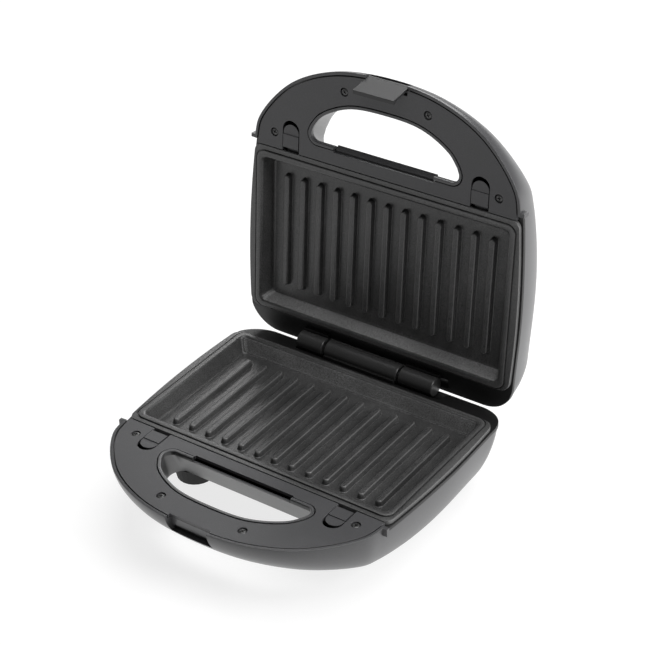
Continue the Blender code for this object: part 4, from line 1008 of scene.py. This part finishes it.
# painted shade: the base's finger opening gets this darker copy of the shell grey
SHELL_SHADED = grained("shell_grey_opening", grey(0.018, 0.04), grey(0.034, 0.04), 0.36, 2600.0, 0.03)
SCREW_BLACK = grained("screw_black_oxide", grey(0.05), grey(0.14), 0.35, 2000.0, 0.05, metallic=0.6)
STEEL = grained("steel_plain", grey(0.45), grey(0.6), 0.32, 900.0, 0.05, metallic=1.0)
RUBBER = grained("rubber_matte", grey(0.014), grey(0.028), 0.75, 1800.0, 0.15)
CERAMIC = grained("ceramic_cream", (0.7, 0.68, 0.6), (0.8, 0.78, 0.7), 0.55, 1200.0, 0.1)
LENS_RED = grained("lens_red_clear", (0.45, 0.02, 0.015), (0.6, 0.03, 0.02), 0.15, 800.0, 0.02)
LENS_GREEN = grained("lens_green_clear", (0.02, 0.3, 0.05), (0.03, 0.42, 0.08), 0.15, 800.0, 0.02)

CAD_MATERIALS = {"shell_grey": SHELL_GREY, "cover_black": COVER_BLACK, "frame_black": FRAME_BLACK,
                 "non_stick": PLATE_COAT, "steel": STEEL, "screw_black": SCREW_BLACK,
                 "rubber": RUBBER, "ceramic": CERAMIC, "lens_red": LENS_RED,
                 "lens_green": LENS_GREEN}
for entry in frame["record"]["subparts"]:
    node = frame["nodes"][entry["node"]]
    for material_slot in node.material_slots:
        material_slot.material = CAD_MATERIALS[entry["material_slot"]]


# ================================================================================================
# Assembly
# ================================================================================================
for half in (BASE, LID):
    make_shell(half)
    make_cover(half)
    make_frame(half)
    make_plate(half)
    for side in (-1, 1):
        make_latch(half, side)
    for index in range(1, 5):
        make_screw(half, index)
make_clip()


# ================================================================================================
# Stage, light and camera
# ================================================================================================
FLOOR_HALF = 4.0
FLOOR_DROP = 0.0002            # the floor lies this far below the feet
FLOOR_GLOW = 0.78
WORLD_LIGHT = 0.10
CAMERA_PLACE = Vector((0.64376, -0.85969, 0.83658))
CAMERA_FORWARD = Vector((-0.49406, 0.67616, -0.54654))
CAMERA_UP = Vector((-0.291, 0.4636, 0.8364))
CAMERA_LENS = 105.25           # millimetres


def soft_box(name, location, target, size, power):
    """A rectangular area light aimed at a point."""
    light = bpy.data.lights.new(name, "AREA")
    light.shape = "RECTANGLE"
    light.size, light.size_y = size
    light.energy = power
    lamp = bpy.data.objects.new(name, light)
    lamp.location = location
    aim = Vector(target) - Vector(location)
    lamp.rotation_euler = aim.to_track_quat("-Z", "Y").to_euler()
    bpy.context.scene.collection.objects.link(lamp)


def make_floor():
    """The pale floor, lit in part by its own glow."""
    bm = bmesh.new()
    bmesh.ops.create_grid(bm, x_segments=1, y_segments=1, size=FLOOR_HALF)
    mesh = bpy.data.meshes.new("floor")
    bm.to_mesh(mesh)
    bm.free()
    floor = bpy.data.objects.new("floor", mesh)
    floor.location = (0.0, 0.0, -FLOOR_DROP)
    bpy.context.scene.collection.objects.link(floor)
    pale = grained("floor_pale", grey(0.25), grey(0.27), 0.8, 40.0, 0.0, 2.0)
    shader = pale.node_tree.nodes["Principled BSDF"]
    shader.inputs["Emission Color"].default_value = (1.0, 1.0, 1.0, 1.0)
    shader.inputs["Emission Strength"].default_value = FLOOR_GLOW
    mesh.materials.append(pale)


def make_world():
    """A weak even light from all round."""
    world = bpy.data.worlds.new("studio")
    world.use_nodes = True
    background = world.node_tree.nodes["Background"]
    background.inputs["Color"].default_value = (1.0, 1.0, 1.0, 1.0)
    background.inputs["Strength"].default_value = WORLD_LIGHT
    bpy.context.scene.world = world


def make_camera():
    """The camera at the object's viewing angle."""
    data = bpy.data.cameras.new("camera")
    data.sensor_width = 36.0
    data.lens = CAMERA_LENS
    camera = bpy.data.objects.new("camera", data)
    back = -CAMERA_FORWARD.normalized()
    right = CAMERA_UP.cross(back).normalized()
    up = back.cross(right)
    turn = Matrix((right, up, back)).transposed().to_4x4()
    camera.matrix_world = Matrix.Translation(CAMERA_PLACE) @ turn
    bpy.context.scene.collection.objects.link(camera)
    bpy.context.scene.camera = camera


make_floor()
make_world()
soft_box("top_box", (0.2, 0.2, 1.5), (0.0, 0.0, 0.05), (1.4, 1.2), 19.0)
soft_box("right_box", (1.45, 0.35, 0.8), (0.05, 0.05, 0.12), (0.9, 1.2), 25.0)
soft_box("back_box", (-0.6, 1.5, 1.1), (0.0, 0.0, 0.1), (1.2, 0.8), 14.0)
make_camera()
bpy.context.scene.view_settings.view_transform = "Standard"
